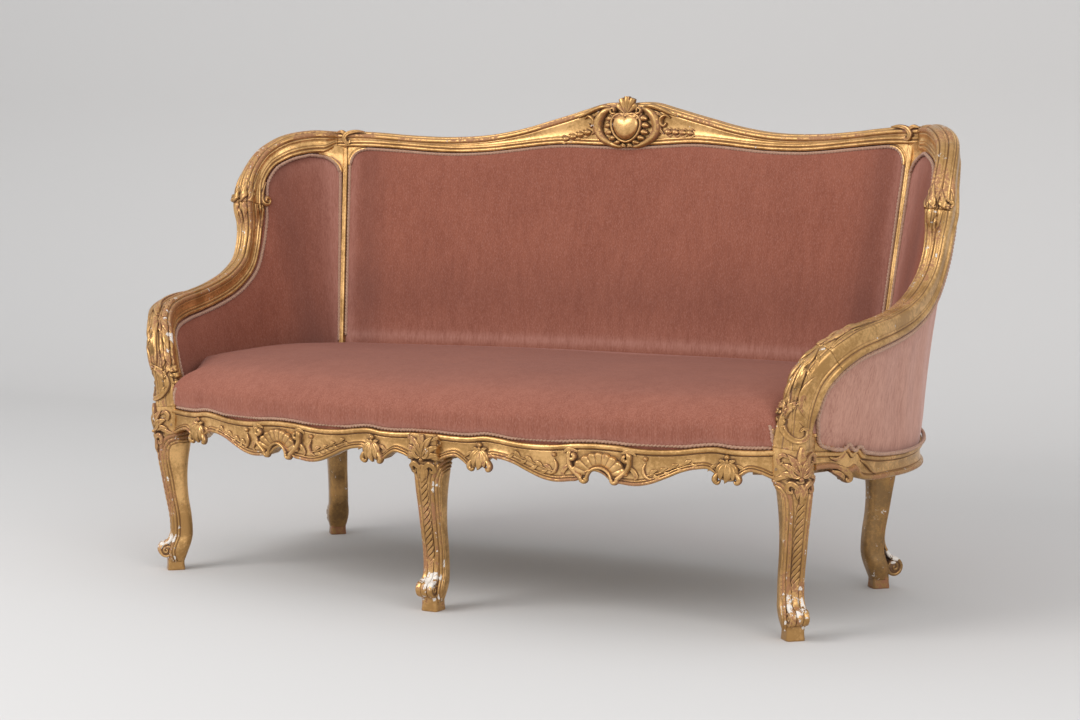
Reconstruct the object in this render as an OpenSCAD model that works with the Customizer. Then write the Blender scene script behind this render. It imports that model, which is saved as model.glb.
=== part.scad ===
// Cabriole sofa with wings: carved giltwood frame, fixed velvet upholstery.
// X runs to the sitter's left as seen from the front, Y to the back, Z up.
// The origin lies on the floor under the middle of the overall box.

/* [Overall] */
// Distance between the centres of the front corner legs
front_span = 1490; // [1200:10:2200]
// Distance between the centres of the back feet
back_span = 1404; // [1110:10:2120]
// Distance from the front corner feet back to the back feet
leg_depth = 565; // [500:5:700]
// Height of the crest rail over its ends
back_h = 970; // [880:5:1100]
// Rise of the shell finial's top over the crest rail's ends
finial_rise = 90; // [60:5:200]

/* [Seat] */
// Height of the seat rails' moulded top edge
rail_top = 360; // [320:5:400]
// Forward bow of the front rail in plan
front_bow = 105; // [60:5:140]
// Outward bow of the side rails in plan
side_bow = 126; // [90:2:140]
// Thickness of the seat rails
rail_t = 32; // [28:1:40]
// Depth of the shaped apron below the rail's top edge
apron_drop = 75; // [65:1:85]
// Height of the seat's crown above its platform
seat_crown = 130; // [90:5:150]

/* [Back] */
// Backward bow of the crest rail and the back in plan
back_bow = 105; // [60:5:130]
// Distance between the gilt fillets at the height of the crest rail
stile_span = 1458; // [1160:10:2160]
// Distance that the stile leans back over its height above the seat rail
back_lean = 92; // [60:2:120]
// Thickness of the back frame from the fillet's face to the back face
frame_t = 48; // [44:1:54]
// Height of the crest rail at its ends
crest_w = 35; // [30:1:45]
// Rise of the crest rail's top edge at the middle
crest_rise = 72; // [50:1:90]
// Crown of the inside back
back_crown = 14; // [6:1:20]

/* [Arms] */
// Drop of the wing rail below the crest rail's ends
wing_drop = 20; // [10:2:60]
// How far the arms flare out beyond the front legs
arm_flare = 130; // [100:5:160]
// Width of the arm and wing rails
arm_w = 46; // [40:1:52]
// Crown of the inside arms
arm_crown = 10; // [4:1:14]

/* [Legs] */
// Height of the underside of the leg heads
knee_h = 300; // [270:5:330]
// Width of a leg at half its height
leg_w = 46; // [40:1:54]
// Side of the square leg heads
head_w = 64; // [56:1:72]
// Radius of the scroll at the foot
scroll_r = 15; // [12:1:18]
// Height of the block under the scroll
foot_h = 22; // [16:1:30]

/* [Upholstery] */
// Thickness of the velvet covers
cover_t = 2.5; // [1.5:0.5:4]
// Thickness of a web and of the hessian
web_t = 1.5; // [1:0.5:3]
// Width of the webbing
web_w = 55; // [40:5:70]
// Width of the gimp
gimp_w = 8; // [6:1:10]

/* [Hidden] */
$fn = 48;

// Fits and cuts
fit = 0.2;
clear = 0.3;
overrun = 2;

// Joints
tenon_t = 10;
tenon_l = 20;
tenon_h = 34;
peg_r = 3;
dowel_r = 4;
dowel_l = 30;

// Show lip and ledge of the seat rails
lip_t = 10;
ledge_drop = 10;
ledge_h = rail_top - ledge_drop;
side_dip = 32;
rail_wave = 6;
rail_set = 25;

// Front posts
post_x = front_span / 2;
post_y = -4;
head_rise = 15;
head_top = rail_top + head_rise;
middle_rise = 3;
middle_top = rail_top + middle_rise;

// Stiles: the fillet's front line runs from the seat rail to the crest rail
fillet_w = 12;
fillet_d = 4;
web_set = 27;
web_rest = 35;
stile_out = 32;
stile_in = 12;
cover_gap = 1;
fillet_inset = 14.5;
fillet_fore = 7;
stile_low = [back_span / 2 - fillet_inset, leg_depth - fillet_fore];
stile_high = [stile_span / 2, leg_depth - fillet_fore + back_lean];
crest_low = back_h - crest_w;
back_head_h = 285;
head_shift = 2;
back_rail_down = 30;
back_low = rail_top - back_rail_down;
back_head = [back_span / 2 - head_shift, stile_y(back_low) + frame_t - head_w / 2];

// Crest rail and its cartouche
crest_proud = 4;
crest_over = 26;
crest_end = stile_high[0] + crest_over;
finial_h = back_h + finial_rise;
boss_t = 16;
boss_w = 96;

// Arm and wing rails
wing_h = back_h - wing_drop;
wing_out = 14;
wing_back = 8;
wing_x = stile_high[0] + wing_out;
wing_y = stile_high[1] + wing_back;
rail_line_end = 19;
wing_joint = 6;
arm_joint = 15;

// Layers of the inside arms, outwards from the middle surface
arm_fill = 17;
arm_side = 15;

// The part's own box, which sets the origin
middle_proud = 10;
front_edge = -front_bow - rail_set - middle_proud;
middle_y = front_edge + head_w / 2;
outer_lap = 15;
back_edge = back_y(0, crest_low, frame_t + clear + cover_t);
mid_y = (front_edge + back_edge) / 2;

// Colours
gilt = [0.78, 0.6, 0.3];
beech = [0.72, 0.56, 0.4];
velvet = [0.58, 0.33, 0.28];
jute = [0.66, 0.56, 0.42];
hair = [0.34, 0.27, 0.22];
braid = [0.72, 0.56, 0.46];

// Vectors and curves
function mix(a, b, t) = a + (b - a) * t;
function unit(v) = v / norm(v);
function at(list, s, k) = list[max(0, min(len(list) - 1, floor(s) + k))];
function bend(a, b, c, d, t) =
    (2 * b + (c - a) * t + (2 * a - 5 * b + 4 * c - d) * t * t + (3 * b - a - 3 * c + d) * t * t * t) / 2;
// Smooth curve through a list; s counts the points
function curve(list, s) =
    let (k = min(floor(s), len(list) - 2), t = s - k)
    bend(at(list, k, -1), at(list, k, 0), at(list, k, 1), at(list, k, 2), t);
// Height of an arc of this bow over half a chord, at x, and d outside it
function arc(x, half, bow, d = 0) =
    let (r = (half * half + bow * bow) / (2 * bow)) sqrt((r + d) * (r + d) - x * x) - (r - bow);

// Plan of the front rail's face
function front_y(x) = -rail_set - arc(x, post_x, front_bow);
// Fillet line of the stiles, by height
function lean(z) = (z - rail_top) / (crest_low - rail_top);
function stile_x(z) = mix(stile_low[0], stile_high[0], lean(z));
function stile_y(z) = mix(stile_low[1], stile_high[1], lean(z));
// Face line of the back between the stiles, or the line d behind it
function back_y(x, z, d = 0) = stile_y(z) + arc(x, stile_x(z) + fillet_w, back_bow, d);

// Half apron from its middle to its end: place, and depth as a share of the drop
apron_shares = [
    [0, 0.67], [0.03, 0.7], [0.06, 0.77], [0.1, 0.92], [0.16, 0.97], [0.24, 1], [0.31, 0.95],
    [0.41, 0.78], [0.5, 0.6], [0.59, 0.5], [0.66, 0.5], [0.7, 0.62], [0.74, 0.75], [0.79, 0.76],
    [0.83, 0.63], [0.87, 0.53], [0.94, 0.56], [1, 0.67],
];
// Half top edge: place, and height as a share of the wave
wave_shares = [
    [0, 0.5], [0.13, 0.2], [0.25, -0.5], [0.4, -0.6], [0.5, -0.2], [0.6, 0.6], [0.69, 1],
    [0.78, 0.4], [0.9, 0.3], [1, 0.6],
];
apron_mid = post_x / 2;
function apron_place(x) = min(1, abs(abs(x) - apron_mid) / (apron_mid - head_w / 2));
function front_top(x) = rail_top + rail_wave * lookup(apron_place(x), wave_shares);

// Side rail: plan line of its outer face, and its dipped top edge
side_shares = [
    [0.26, 0.035], [0.61, 0.212], [0.85, 0.425], [1, 0.637], [0.976, 0.796], [0.7, 0.93], [0.12, 1.035],
];
function side_at(s) =
    let (p = curve(side_shares, s))
    [mix(post_x, back_span / 2, p[1]) + side_bow * p[0], leg_depth * p[1]];
side_last = 6;
function side_normal(s) =
    let (a = side_at(max(0, s - 0.05)), b = side_at(min(side_last, s + 0.05)), t = unit(b - a))
    [t[1], -t[0]];
function side_in(s, d) = side_at(s) - side_normal(s) * d;
side_top_shares = [[0, 0], [0.15, 0.2], [0.4, 0.9], [0.65, 1], [0.82, 0.7], [0.94, 0.28], [1.1, 0.28]];
side_low_shares = [[0, 0.5], [0.12, 0.5], [0.25, 0.85], [0.5, 1], [0.8, 0.95], [1.1, 0.7]];
function side_top(y) = rail_top - side_dip * lookup(y / leg_depth, side_top_shares);
function side_low(y) = rail_top - apron_drop * lookup(y / leg_depth, side_low_shares);

// Crest rail: half outlines, by share of its half length and of its rise
crest_top_shares = [
    [0, 1], [0.08, 1], [0.155, 0.8], [0.22, 0.61], [0.285, 0.43], [0.35, 0.25], [0.42, 0.1],
    [0.485, 0], [0.61, -0.07], [0.775, 0], [0.86, 0.08], [0.95, 0.13], [1, 0.12],
];
crest_low_shares = [
    [0, 0.1], [0.11, 0.15], [0.24, 0.19], [0.33, 0.12], [0.41, 0.03], [0.47, -0.03], [0.54, -0.07],
    [0.6, -0.08], [0.67, -0.05], [0.78, 0.04], [0.9, 0.12], [1, 0.12],
];
function crest_low_at(x) = crest_low + crest_rise * lookup(abs(x) / crest_end, crest_low_shares);

// Line of wing rail, arm rail and arm support: shares of the flare, the depth and the height
rail_line_shares = [
    [0, 1, 1], [0.38, 0.943, 1.01], [0.66, 0.86, 0.995], [0.85, 0.803, 0.965], [0.95, 0.753, 0.925],
    [1, 0.702, 0.85], [0.99, 0.676, 0.753], [0.96, 0.672, 0.673], [0.93, 0.654, 0.588],
    [0.89, 0.611, 0.508], [0.87, 0.53, 0.447], [0.85, 0.428, 0.407], [0.81, 0.318, 0.381],
    [0.75, 0.212, 0.363], [0.615, 0.114, 0.339], [0.43, 0.044, 0.295], [0.23, 0.002, 0.229],
    [0.115, -0.009, 0.146], [0.055, -0.004, 0.071], [0.02, 0, 0],
];
// Width along that line, as a share of the rail's width
rail_width_shares = [
    [0, 1.12], [2, 1.14], [5, 1.05], [6, 1.25], [7, 1.05], [10, 1], [13, 1.05], [15, 1.2],
    [16, 1.25], [17, 1.15], [19, 1.1],
];
// Turn of the panel's outward direction along that line
rail_turn_shares = [[0, 1], [2, 0.8], [4, 0.4], [6, 0.15], [12, 0.05], [14, -0.3], [16, -0.5], [19, -0.4]];
// Half section of the rails: outward and inward shares of the half width
rail_section_shares = [
    [0.8, 1], [1, 0.7], [1, 0.15], [0.92, -0.4], [0.65, -0.8], [0.25, -1],
    [-0.25, -1], [-0.65, -0.8], [-0.92, -0.4], [-1, 0.15], [-1, 0.7], [-0.8, 1],
];
function rail_at(s) =
    let (p = curve(rail_line_shares, s))
    [
        mix(post_x, wing_x, p[1]) + arm_flare * p[0],
        mix(post_y, wing_y, p[1]),
        mix(head_top - ledge_drop, wing_h, p[2]),
    ];
function rail_half(s) = arm_w / 2 * lookup(s, rail_width_shares);
function rail_run(s) =
    unit(rail_at(min(rail_line_end, s + 0.05)) - rail_at(max(0, s - 0.05)));
function rail_out(s) =
    let (t = rail_run(s), o = [1, lookup(s, rail_turn_shares), 0])
    unit(o - (o * t) * t);
function rail_in(s) = cross(rail_out(s), rail_run(s));
// Place beside the rail: m inwards from its inner face, d outwards from the panel's middle
function beside(s, m, d) =
    rail_at(s) + rail_in(s) * (rail_half(s) + m) + rail_out(s) * d;

// Arm and wing panel at a depth d outwards from its middle, from four edges; u runs forwards, v down
rail_gap = 3;
wing_from = 0.25;
side_mid = arm_side + cover_t;
root_mid = (arm_fill + cover_t) / sqrt(2) + clear;
panel_floor = ledge_h + 4 * web_t + clear;
foot_from = side_last - 0.05;
foot_to = 0.1;
foot_skew = 1.9;
function wing_root(z, d) =
    let (k = root_mid + d / sqrt(2))
    [stile_x(z) + fillet_w / 2 + k + clear, stile_y(z) + fillet_d + k - clear, z];
function panel_low(y, low) = low ? side_top(y) + clear : panel_floor;
function panel_top(u, d) =
    let (s = mix(wing_from, arm_joint, u), a = beside(wing_from, rail_gap, d))
    beside(s, rail_gap, d) + (wing_root(a[2], d) - a) * pow(1 - u, 6);
function panel_front(v, d, low) =
    let (
        s = mix(arm_joint, rail_line_end, v), p = beside(s, rail_gap, d),
        z = v > 0.999 ? panel_low(p[1], low) : max(p[2], panel_low(p[1], low)),
        behind_head = z < head_top + head_rise ? side_root_y + clear : p[1]
    )
    [p[0], max(p[1], behind_head), z];
function panel_back(v, d, low) =
    wing_root(mix(panel_top(0, d)[2], panel_low(leg_depth, low), v), d);
function panel_foot(u, d, low) =
    let (
        a = panel_back(1, d, low), b = panel_front(1, d, low),
        ea = side_in(foot_from, side_mid - d), eb = side_in(foot_to, side_mid - d),
        p = side_in(mix(foot_from, foot_to, pow(u, foot_skew)), side_mid - d),
        y = p[1] + (a[1] - ea[1]) * pow(1 - u, 4) + (b[1] - eb[1]) * pow(u, 4)
    )
    [
        p[0] + (a[0] - ea[0]) * pow(1 - u, 4) + (b[0] - eb[0]) * pow(u, 4),
        y,
        panel_low(y, low),
    ];
function panel_at(u, v, d, low) =
    mix(panel_top(u, d), panel_foot(u, d, low), v)
    + mix(panel_back(v, d, low), panel_front(v, d, low), u)
    - mix(
        mix(panel_top(0, d), panel_top(1, d), u),
        mix(panel_foot(0, d, low), panel_foot(1, d, low), u), v
    );
function panel_normal(u, v, low) =
    let (
        e = 0.02, u0 = max(0, u - e), u1 = min(1, u + e), v0 = max(0, v - e), v1 = min(1, v + e),
        du = panel_at(u1, v, 0, low) - panel_at(u0, v, 0, low),
        dv = panel_at(u, v1, 0, low) - panel_at(u, v0, 0, low)
    )
    unit(cross(du, dv));
function swell(t, p) = pow(1 - pow(abs(2 * t - 1), p), 1 / p);
function fullness(u, v) = swell(u, 3) * swell(v, 3);
// Point of the panel at a depth: edge depth, and the extra depth where it is full
function layer_at(u, v, edge, full, low = false) =
    panel_at(u, v, edge, low)
    + (full == 0 ? [0, 0, 0] : panel_normal(u, v, low) * (full * fullness(u, v)));

// Meshes: a slab between two grids of points, and a tube along a path
function grid_faces(n, m, base, flip) = [
    for (i = [0:n - 2], j = [0:m - 2])
        let (a = base + i * m + j, b = a + 1, c = a + m, d = c + 1)
            for (f = flip ? [[a, c, b], [b, c, d]] : [[a, b, c], [b, d, c]]) f,
];
function rim(n, m) = concat(
    [for (i = [0:n - 1]) i * m], [for (j = [1:m - 1]) (n - 1) * m + j],
    [for (i = [1:n - 1]) (n - 1 - i) * m + m - 1], [for (j = [1:m - 2]) m - 1 - j]
);
module slab(front, back) {
    n = len(front);
    m = len(front[0]);
    edge = rim(n, m);
    k = len(edge);
    polyhedron(
        points = concat([for (r = front, p = r) p], [for (r = back, p = r) p]),
        faces = concat(
            grid_faces(n, m, 0, false), grid_faces(n, m, n * m, true),
            [
                for (i = [0:k - 1])
                    let (a = edge[i], b = edge[(i + 1) % k], c = a + n * m, d = b + n * m)
                        for (f = [[a, b, c], [b, d, c]]) f,
            ]
        )
    );
}
module rings(list) {
    n = len(list);
    m = len(list[0]);
    ends = [
        [for (p = list[0]) 1] * list[0] / m, [for (p = list[n - 1]) 1] * list[n - 1] / m,
    ];
    polyhedron(
        points = concat([for (r = list, p = r) p], ends),
        faces = concat(
            [
                for (i = [0:n - 2], j = [0:m - 1])
                    let (a = i * m + j, b = i * m + (j + 1) % m, c = a + m, d = b + m)
                        for (f = [[a, c, b], [b, c, d]]) f,
            ],
            [for (j = [0:m - 1]) [n * m, j, (j + 1) % m]],
            [for (j = [0:m - 1]) [n * m + 1, (n - 1) * m + (j + 1) % m, (n - 1) * m + j]]
        )
    );
}
// Tube of a round section along a path of points
module cord(path, r, sides = 6) {
    n = len(path) - 1;
    function run(i) = unit(path[min(n, i + 1)] - path[max(0, i - 1)]);
    function side(i) = let (t = run(i), a = abs(t[2]) > 0.9 ? [1, 0, 0] : [0, 0, 1]) unit(cross(t, a));
    function carried(i, last) = let (t = run(i), s = last - (last * t) * t) unit(s);
    sides_at = [for (i = 0, s = side(0); i <= n; i = i + 1, s = carried(min(i, n), s)) s];
    rings([
        for (i = [0:n])
            let (t = run(i), a = sides_at[i], b = cross(t, a))
                [for (k = [0:sides - 1]) path[i] + r * (a * cos(360 * k / sides) + b * sin(360 * k / sides))],
    ]);
}

// Places every sub-part, and mirrors the left-hand ones
module placed(left = false) {
    translate([0, -mid_y, 0]) mirror([left ? 1 : 0, 0, 0]) children();
}
module block_at(low, high) {
    translate(low) cube(high - low);
}
// Horizontal band in plan on an arc that bows by its sign in Y
module arc_band(half, bow, y_chord, near, far, low, high) {
    r = (half * half + bow * bow) / (2 * bow);
    translate([0, y_chord - (r - bow), low])
        difference() {
            cylinder(r = r + far, h = high - low, $fn = 360);
            translate([0, 0, -overrun]) cylinder(r = r + near, h = high - low + 2 * overrun, $fn = 360);
        }
}
// Elevation in X and Z, pushed along Y
module elevation(points, low, high) {
    translate([0, high, 0]) rotate([90, 0, 0]) linear_extrude(height = high - low) polygon(points);
}

// Cabriole leg: height as a share of the knee, then outer, inner and half width of the leg's width
leg_shares = [
    [1.03, 0.78, -0.87, 0.7], [0.92, 0.76, -0.76, 0.64], [0.83, 0.71, -0.67, 0.59],
    [0.7, 0.56, -0.61, 0.54], [0.55, 0.39, -0.65, 0.51], [0.41, 0.22, -0.78, 0.5],
    [0.31, 0.18, -0.83, 0.5], [0.25, 0.2, -0.82, 0.51], [0.2, 0.3, -0.74, 0.55],
    [0.14, 0.42, -0.6, 0.54], [0.06, 0.35, -0.4, 0.42],
];
foot_w = 38;
middle_foot_in = 8;
scroll_out = 22;
scroll_rise = 25;
scroll_z = foot_h + scroll_rise;
function rounded(a) = sign(a) * pow(abs(a), 0.65);
module leg() {
    rings([
        for (p = leg_shares)
            [
                for (k = [0:11])
                    [
                        leg_w * mix(p[2], p[1], (rounded(cos(30 * k)) + 1) / 2),
                        -leg_w * p[3] * rounded(sin(30 * k)), knee_h * p[0],
                    ],
            ],
    ]);
    translate([-foot_w / 2, -foot_w / 2, 0]) cube([foot_w, foot_w, foot_h + fit]);
    translate([scroll_out, 0, scroll_z]) rotate([90, 0, 0])
        cylinder(r = scroll_r, h = leg_w * 1.2, center = true);
}
module head(low, top, centre) {
    translate([centre[0] - head_w / 2, centre[1] - head_w / 2, low]) cube([head_w, head_w, top - low]);
}

// Tenons of the seat rails, used for the tongue with no gap and for the mortise with one
tenon_down = 4;
tenon_z = ledge_h - tenon_down - tenon_h;
post_in = post_x - head_w / 2;
front_tenon_y = front_y(post_in) + rail_t / 2;
middle_tenon_y = front_y(head_w / 2) + rail_t / 2;
function grown(low, high, g) = [low - [g, g, g], high + [g, g, g]];
module box2(pair) {
    block_at(pair[0], pair[1]);
}
module front_tenon(g) {
    box2(grown([post_in - overrun, front_tenon_y - tenon_t / 2, tenon_z],
        [post_in + tenon_l, front_tenon_y + tenon_t / 2, tenon_z + tenon_h], g));
}
module middle_tenon(g) {
    box2(grown([head_w / 2 - tenon_l, middle_tenon_y - tenon_t / 2, tenon_z],
        [head_w / 2 + overrun, middle_tenon_y + tenon_t / 2, tenon_z + tenon_h], g));
}
side_tenon_x = side_in(0.1, rail_t / 2)[0] - tenon_t / 2;
side_root_y = post_y + head_w / 2;
module side_front_tenon(g) {
    box2(grown([side_tenon_x - tenon_t / 2, side_root_y - tenon_l, tenon_z],
        [side_tenon_x + tenon_t / 2, side_root_y + overrun, tenon_z + tenon_h], g));
}
back_root_x = back_head[0] + head_w / 2;
side_tenon_fore = 2;
side_back_y = leg_depth - side_tenon_fore;
module side_back_tenon(g) {
    box2(grown([back_root_x - tenon_l, side_back_y - tenon_t / 2, tenon_z],
        [back_root_x + overrun, side_back_y + tenon_t / 2, tenon_z + tenon_h], g));
}
back_in_x = back_head[0] - head_w / 2;
back_tenon_y = back_y(back_in_x, back_low, frame_t - rail_t / 2);
module back_tenon(g) {
    box2(grown([back_in_x - overrun, back_tenon_y - tenon_t / 2, tenon_z],
        [back_in_x + tenon_l, back_tenon_y + tenon_t / 2, tenon_z + tenon_h], g));
}

support_foot = rail_at(18.5);
support_tenon_w = 14;
module support_tenon(g) {
    box2(grown([support_foot[0] - support_tenon_w / 2, post_y - support_tenon_w / 2, head_top - tenon_l],
        [support_foot[0] + support_tenon_w / 2, post_y + support_tenon_w / 2, head_top + overrun], g));
}
post_top = crest_low_at(crest_end);
stile_tenon_set = 6;
stile_tenon_y = stile_y(crest_low) + web_set + tenon_t / 2 + stile_tenon_set;
module stile_tenon(g) {
    box2(grown([stile_high[0] - tenon_t, stile_tenon_y - tenon_t / 2, post_top - overrun],
        [stile_high[0] + tenon_t, stile_tenon_y + tenon_t / 2, post_top + tenon_l], g));
}
lower_up = 62;
lower_h = 30;
lower_shoulder = 4;
lower_low = rail_top + lower_up;
lower_high = lower_low + lower_h;
lower_end = stile_x(lower_low) - stile_in;
lower_tenon_y = back_y(lower_end, lower_high, web_set + tenon_t / 2);
lower_tongue = 12;
module lower_tenon(g) {
    box2(grown([lower_end - overrun, lower_tenon_y - tenon_t / 4, lower_low + lower_shoulder],
        [lower_end + lower_tongue, lower_tenon_y + tenon_t / 4, lower_high - lower_shoulder], g));
}
brace_w = 50;
brace_under = 6;
brace_down = 5;
brace_low = tenon_z - brace_under;
brace_high = ledge_h - brace_down;
housing = 8;
back_rail_under = 8;
back_near = frame_t - rail_t;
module brace(g) {
    box2(grown([-brace_w / 2, middle_y + head_w / 2 - housing, brace_low],
        [brace_w / 2, back_y(0, back_low) + back_near + housing, brace_high], g));
}

// Pegs on the right-hand side: start, turn of the axis from +Y, length
peg_z = tenon_z + tenon_h / 2;
pegs = [
    [[post_in + tenon_l / 2, post_y - head_w / 2, peg_z], 0, head_w / 2],
    [[post_x + head_w / 2, side_root_y - tenon_l / 2, peg_z], 90, head_w / 2],
    [[head_w / 2 - tenon_l / 2, front_edge, peg_z], 0, head_w * 0.6],
    [[back_in_x + tenon_l / 2, back_head[1] + head_w / 2, peg_z], 180, head_w / 2],
    [[back_root_x - tenon_l / 2, back_head[1] - head_w / 2, peg_z], 0, head_w / 2],
];
module peg_set(g) {
    for (p = pegs)
        translate(p[0]) rotate([-90, 0, p[1]]) cylinder(r = peg_r + g, h = p[2]);
}

// Dowels across the butt joints of the rails
module aimed(p, run) {
    translate(p) rotate([0, acos(run[2]), atan2(run[1], run[0])]) children();
}
crest_dowel_in = 20;
crest_dowel = [crest_end, stile_y(crest_low) + crest_dowel_in, post_top + crest_w * 0.45];
module dowel_set(g) {
    for (s = [wing_joint, arm_joint])
        aimed(rail_at(s), rail_run(s)) cylinder(r = dowel_r + g, h = dowel_l + 2 * g, center = true);
    aimed(crest_dowel, [1, 0, 0]) cylinder(r = dowel_r + g, h = dowel_l + 2 * g, center = true);
}

// Frame
module front_leg(left) {
    placed(left) color(gilt) difference() {
        union() {
            translate([post_x, 0, 0]) rotate(-45) leg();
            head(knee_h, head_top, [post_x, post_y]);
        }
        front_tenon(fit);
        side_front_tenon(fit);
        support_tenon(fit);
        peg_set(fit / 2);
    }
}
module front_leg_middle() {
    middle_foot_y = middle_y + middle_foot_in;
    placed() color(gilt) difference() {
        union() {
            translate([0, middle_foot_y, 0]) rotate(-90) leg();
            head(knee_h, middle_top, [0, middle_y]);
        }
        front_ledge(middle_top + overrun);
        brace(fit);
        for (k = [0, 1])
            mirror([k, 0, 0]) {
                middle_tenon(fit);
                peg_set(fit / 2);
            }
    }
}
module stile() {
    side = stile_out - fit;
    tongue = [
        [-fillet_w / 2, 0], [fillet_w / 2, 0], [fillet_w / 2, fillet_d],
        [side, fillet_d + side - fillet_w / 2], [side, web_rest + overrun],
        [-fillet_w / 2, web_rest + overrun],
    ];
    body = [[-stile_in, web_rest], [stile_out, web_rest], [stile_out, frame_t], [-stile_in, frame_t]];
    for (section = [tongue, body])
        rings([
            for (z = [ledge_h - ledge_drop, post_top])
                [for (p = section) [stile_x(z) + p[0], stile_y(z) + p[1], z]],
        ]);
}
module back_post(left) {
    placed(left) color(gilt) difference() {
        union() {
            translate([back_span / 2, leg_depth, 0]) rotate(45) leg();
            head(back_head_h, ledge_h, back_head);
            stile();
            stile_tenon(0);
        }
        side_back_tenon(fit);
        back_tenon(fit);
        lower_tenon(fit);
        peg_set(fit / 2);
    }
}
module front_band(near, far, low, high) {
    mirror([0, 1, 0]) arc_band(post_x, front_bow, rail_set, -far, -near, low, high);
}
module front_ledge(high) {
    front_band(lip_t, rail_t * 3, ledge_h, high);
}
module front_rail(left) {
    end = apron_mid - head_w / 2;
    function side_points(table, sign, base, size) =
        [for (w = table) [apron_mid + sign * end * w[0], base + size * w[1]]];
    function back_to_front(list) = [for (i = [len(list) - 1:-1:0]) list[i]];
    outline = concat(
        back_to_front(side_points(wave_shares, -1, rail_top, rail_wave)),
        [for (i = [1:len(wave_shares) - 1]) side_points(wave_shares, 1, rail_top, rail_wave)[i]],
        back_to_front(side_points(apron_shares, 1, rail_top, -apron_drop)),
        [for (i = [1:len(apron_shares) - 1]) side_points(apron_shares, -1, rail_top, -apron_drop)[i]]
    );
    placed(left) color(gilt) difference() {
        union() {
            difference() {
                intersection() {
                    front_band(0, rail_t, rail_top - apron_drop - overrun, head_top);
                    elevation(outline, front_edge - overrun, leg_depth / 2);
                }
                front_ledge(head_top + overrun);
            }
            front_tenon(0);
            middle_tenon(0);
        }
        peg_set(fit / 2);
    }
}
module side_band(near, far, low, high) {
    steps = side_last * 3;
    translate([0, 0, low]) linear_extrude(height = high - low) polygon(concat(
        [for (i = [0:steps]) side_in(i / 3, near)],
        [for (i = [steps:-1:0]) side_in(i / 3, far)]
    ));
}
module side_elevation(top_shares_on) {
    n = 24;
    ys = [for (i = [0:n]) leg_depth * 1.1 * i / n];
    translate([post_x / 2, 0, 0]) rotate([90, 0, 90]) linear_extrude(height = post_x) polygon(concat(
        [for (y = ys) [y, top_shares_on ? side_top(y) : ledge_h + web_t]],
        [for (i = [n:-1:0]) [ys[i], side_low(ys[i])]]
    ));
}
module side_heads() {
    head(0, finial_h, [post_x, post_y]);
    head(0, finial_h, back_head);
    translate([back_span / 2, leg_depth, 0]) cylinder(r = leg_w * 0.95, h = knee_h * 1.04);
}
module side_rail(left) {
    placed(left) color(gilt) difference() {
        union() {
            difference() {
                union() {
                    intersection() {
                        side_band(0, lip_t, rail_top - apron_drop - overrun, rail_top + overrun);
                        side_elevation(true);
                    }
                    intersection() {
                        side_band(lip_t, rail_t, rail_top - apron_drop - overrun, rail_top + overrun);
                        side_elevation(false);
                    }
                }
                side_heads();
            }
            side_front_tenon(0);
            side_back_tenon(0);
        }
        peg_set(fit / 2);
    }
}
module back_band(z, near, far, low, high) {
    arc_band(stile_x(z) + fillet_w, back_bow, stile_y(z), near, far, low, high);
}
module back_rail_body() {
    intersection() {
        back_band(back_low, back_near, frame_t - cover_gap, tenon_z - back_rail_under, ledge_h);
        translate([-back_in_x, 0, 0]) cube([2 * back_in_x, leg_depth * 2, ledge_h + overrun]);
    }
}
module back_rail() {
    placed() color(beech) difference() {
        union() {
            back_rail_body();
            for (k = [0, 1]) mirror([k, 0, 0]) back_tenon(0);
        }
        brace(fit);
        for (k = [0, 1]) mirror([k, 0, 0]) peg_set(fit / 2);
    }
}
module lower_back_rail() {
    placed() color(beech) {
        intersection() {
            difference() {
                back_band(lower_low, web_set, frame_t - cover_gap, lower_low, lower_high);
                back_band(lower_high, web_set - frame_t, web_set, lower_low - overrun, lower_high + overrun);
            }
            translate([-lower_end, 0, 0]) cube([2 * lower_end, leg_depth * 2, lower_high]);
        }
        for (k = [0, 1]) mirror([k, 0, 0]) lower_tenon(0);
    }
}
module seat_brace() {
    placed() color(beech) brace(0);
}
block_reach = 65;
block_low = tenon_z;
block_down = 6;
block_high = tenon_z + tenon_h - block_down;
module corner_block_front(left) {
    y = front_y(post_in - block_reach) + rail_t / 2;
    placed(left) color(beech) difference() {
        translate([0, 0, block_low]) linear_extrude(height = block_high - block_low) polygon([
            [post_in - block_reach, y], [post_x + rail_t, y],
            [post_x + rail_t, side_root_y + block_reach + rail_t],
        ]);
        front_band(-overrun, rail_t, block_low - overrun, block_high + overrun);
        side_band(-rail_t, rail_t, block_low - overrun, block_high + overrun);
        side_heads();
    }
}
module corner_block_back(left) {
    placed(left) color(beech) difference() {
        translate([0, 0, block_low]) linear_extrude(height = block_high - block_low) polygon([
            [back_in_x - block_reach, back_tenon_y], [back_root_x, back_tenon_y],
            [back_root_x, back_head[1] - head_w / 2 - block_reach],
        ]);
        back_band(back_low, back_near, frame_t * 2, block_low - overrun, block_high + overrun);
        side_band(-rail_t, rail_t, block_low - overrun, block_high + overrun);
        side_heads();
    }
}
function rail_ring(s) = [
    for (p = rail_section_shares)
        rail_at(s) + rail_half(s) * (rail_out(s) * p[0] + rail_in(s) * p[1]),
];
module rail_piece(from, to, steps) {
    rings([for (i = [0:steps]) rail_ring(mix(from, to, i / steps))]);
}
module arm_support(left) {
    placed(left) color(gilt) difference() {
        union() {
            rings(concat(
                [for (i = [0:9]) rail_ring(mix(arm_joint, rail_line_end - 0.8, i / 9))],
                [[for (p = rail_ring(rail_line_end - 0.4)) [p[0], p[1], head_top]]]
            ));
            support_tenon(0);
        }
        dowel_set(fit / 2);
    }
}
module arm_rail(left) {
    placed(left) color(gilt) difference() {
        rail_piece(wing_joint, arm_joint, 18);
        dowel_set(fit / 2);
    }
}
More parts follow.
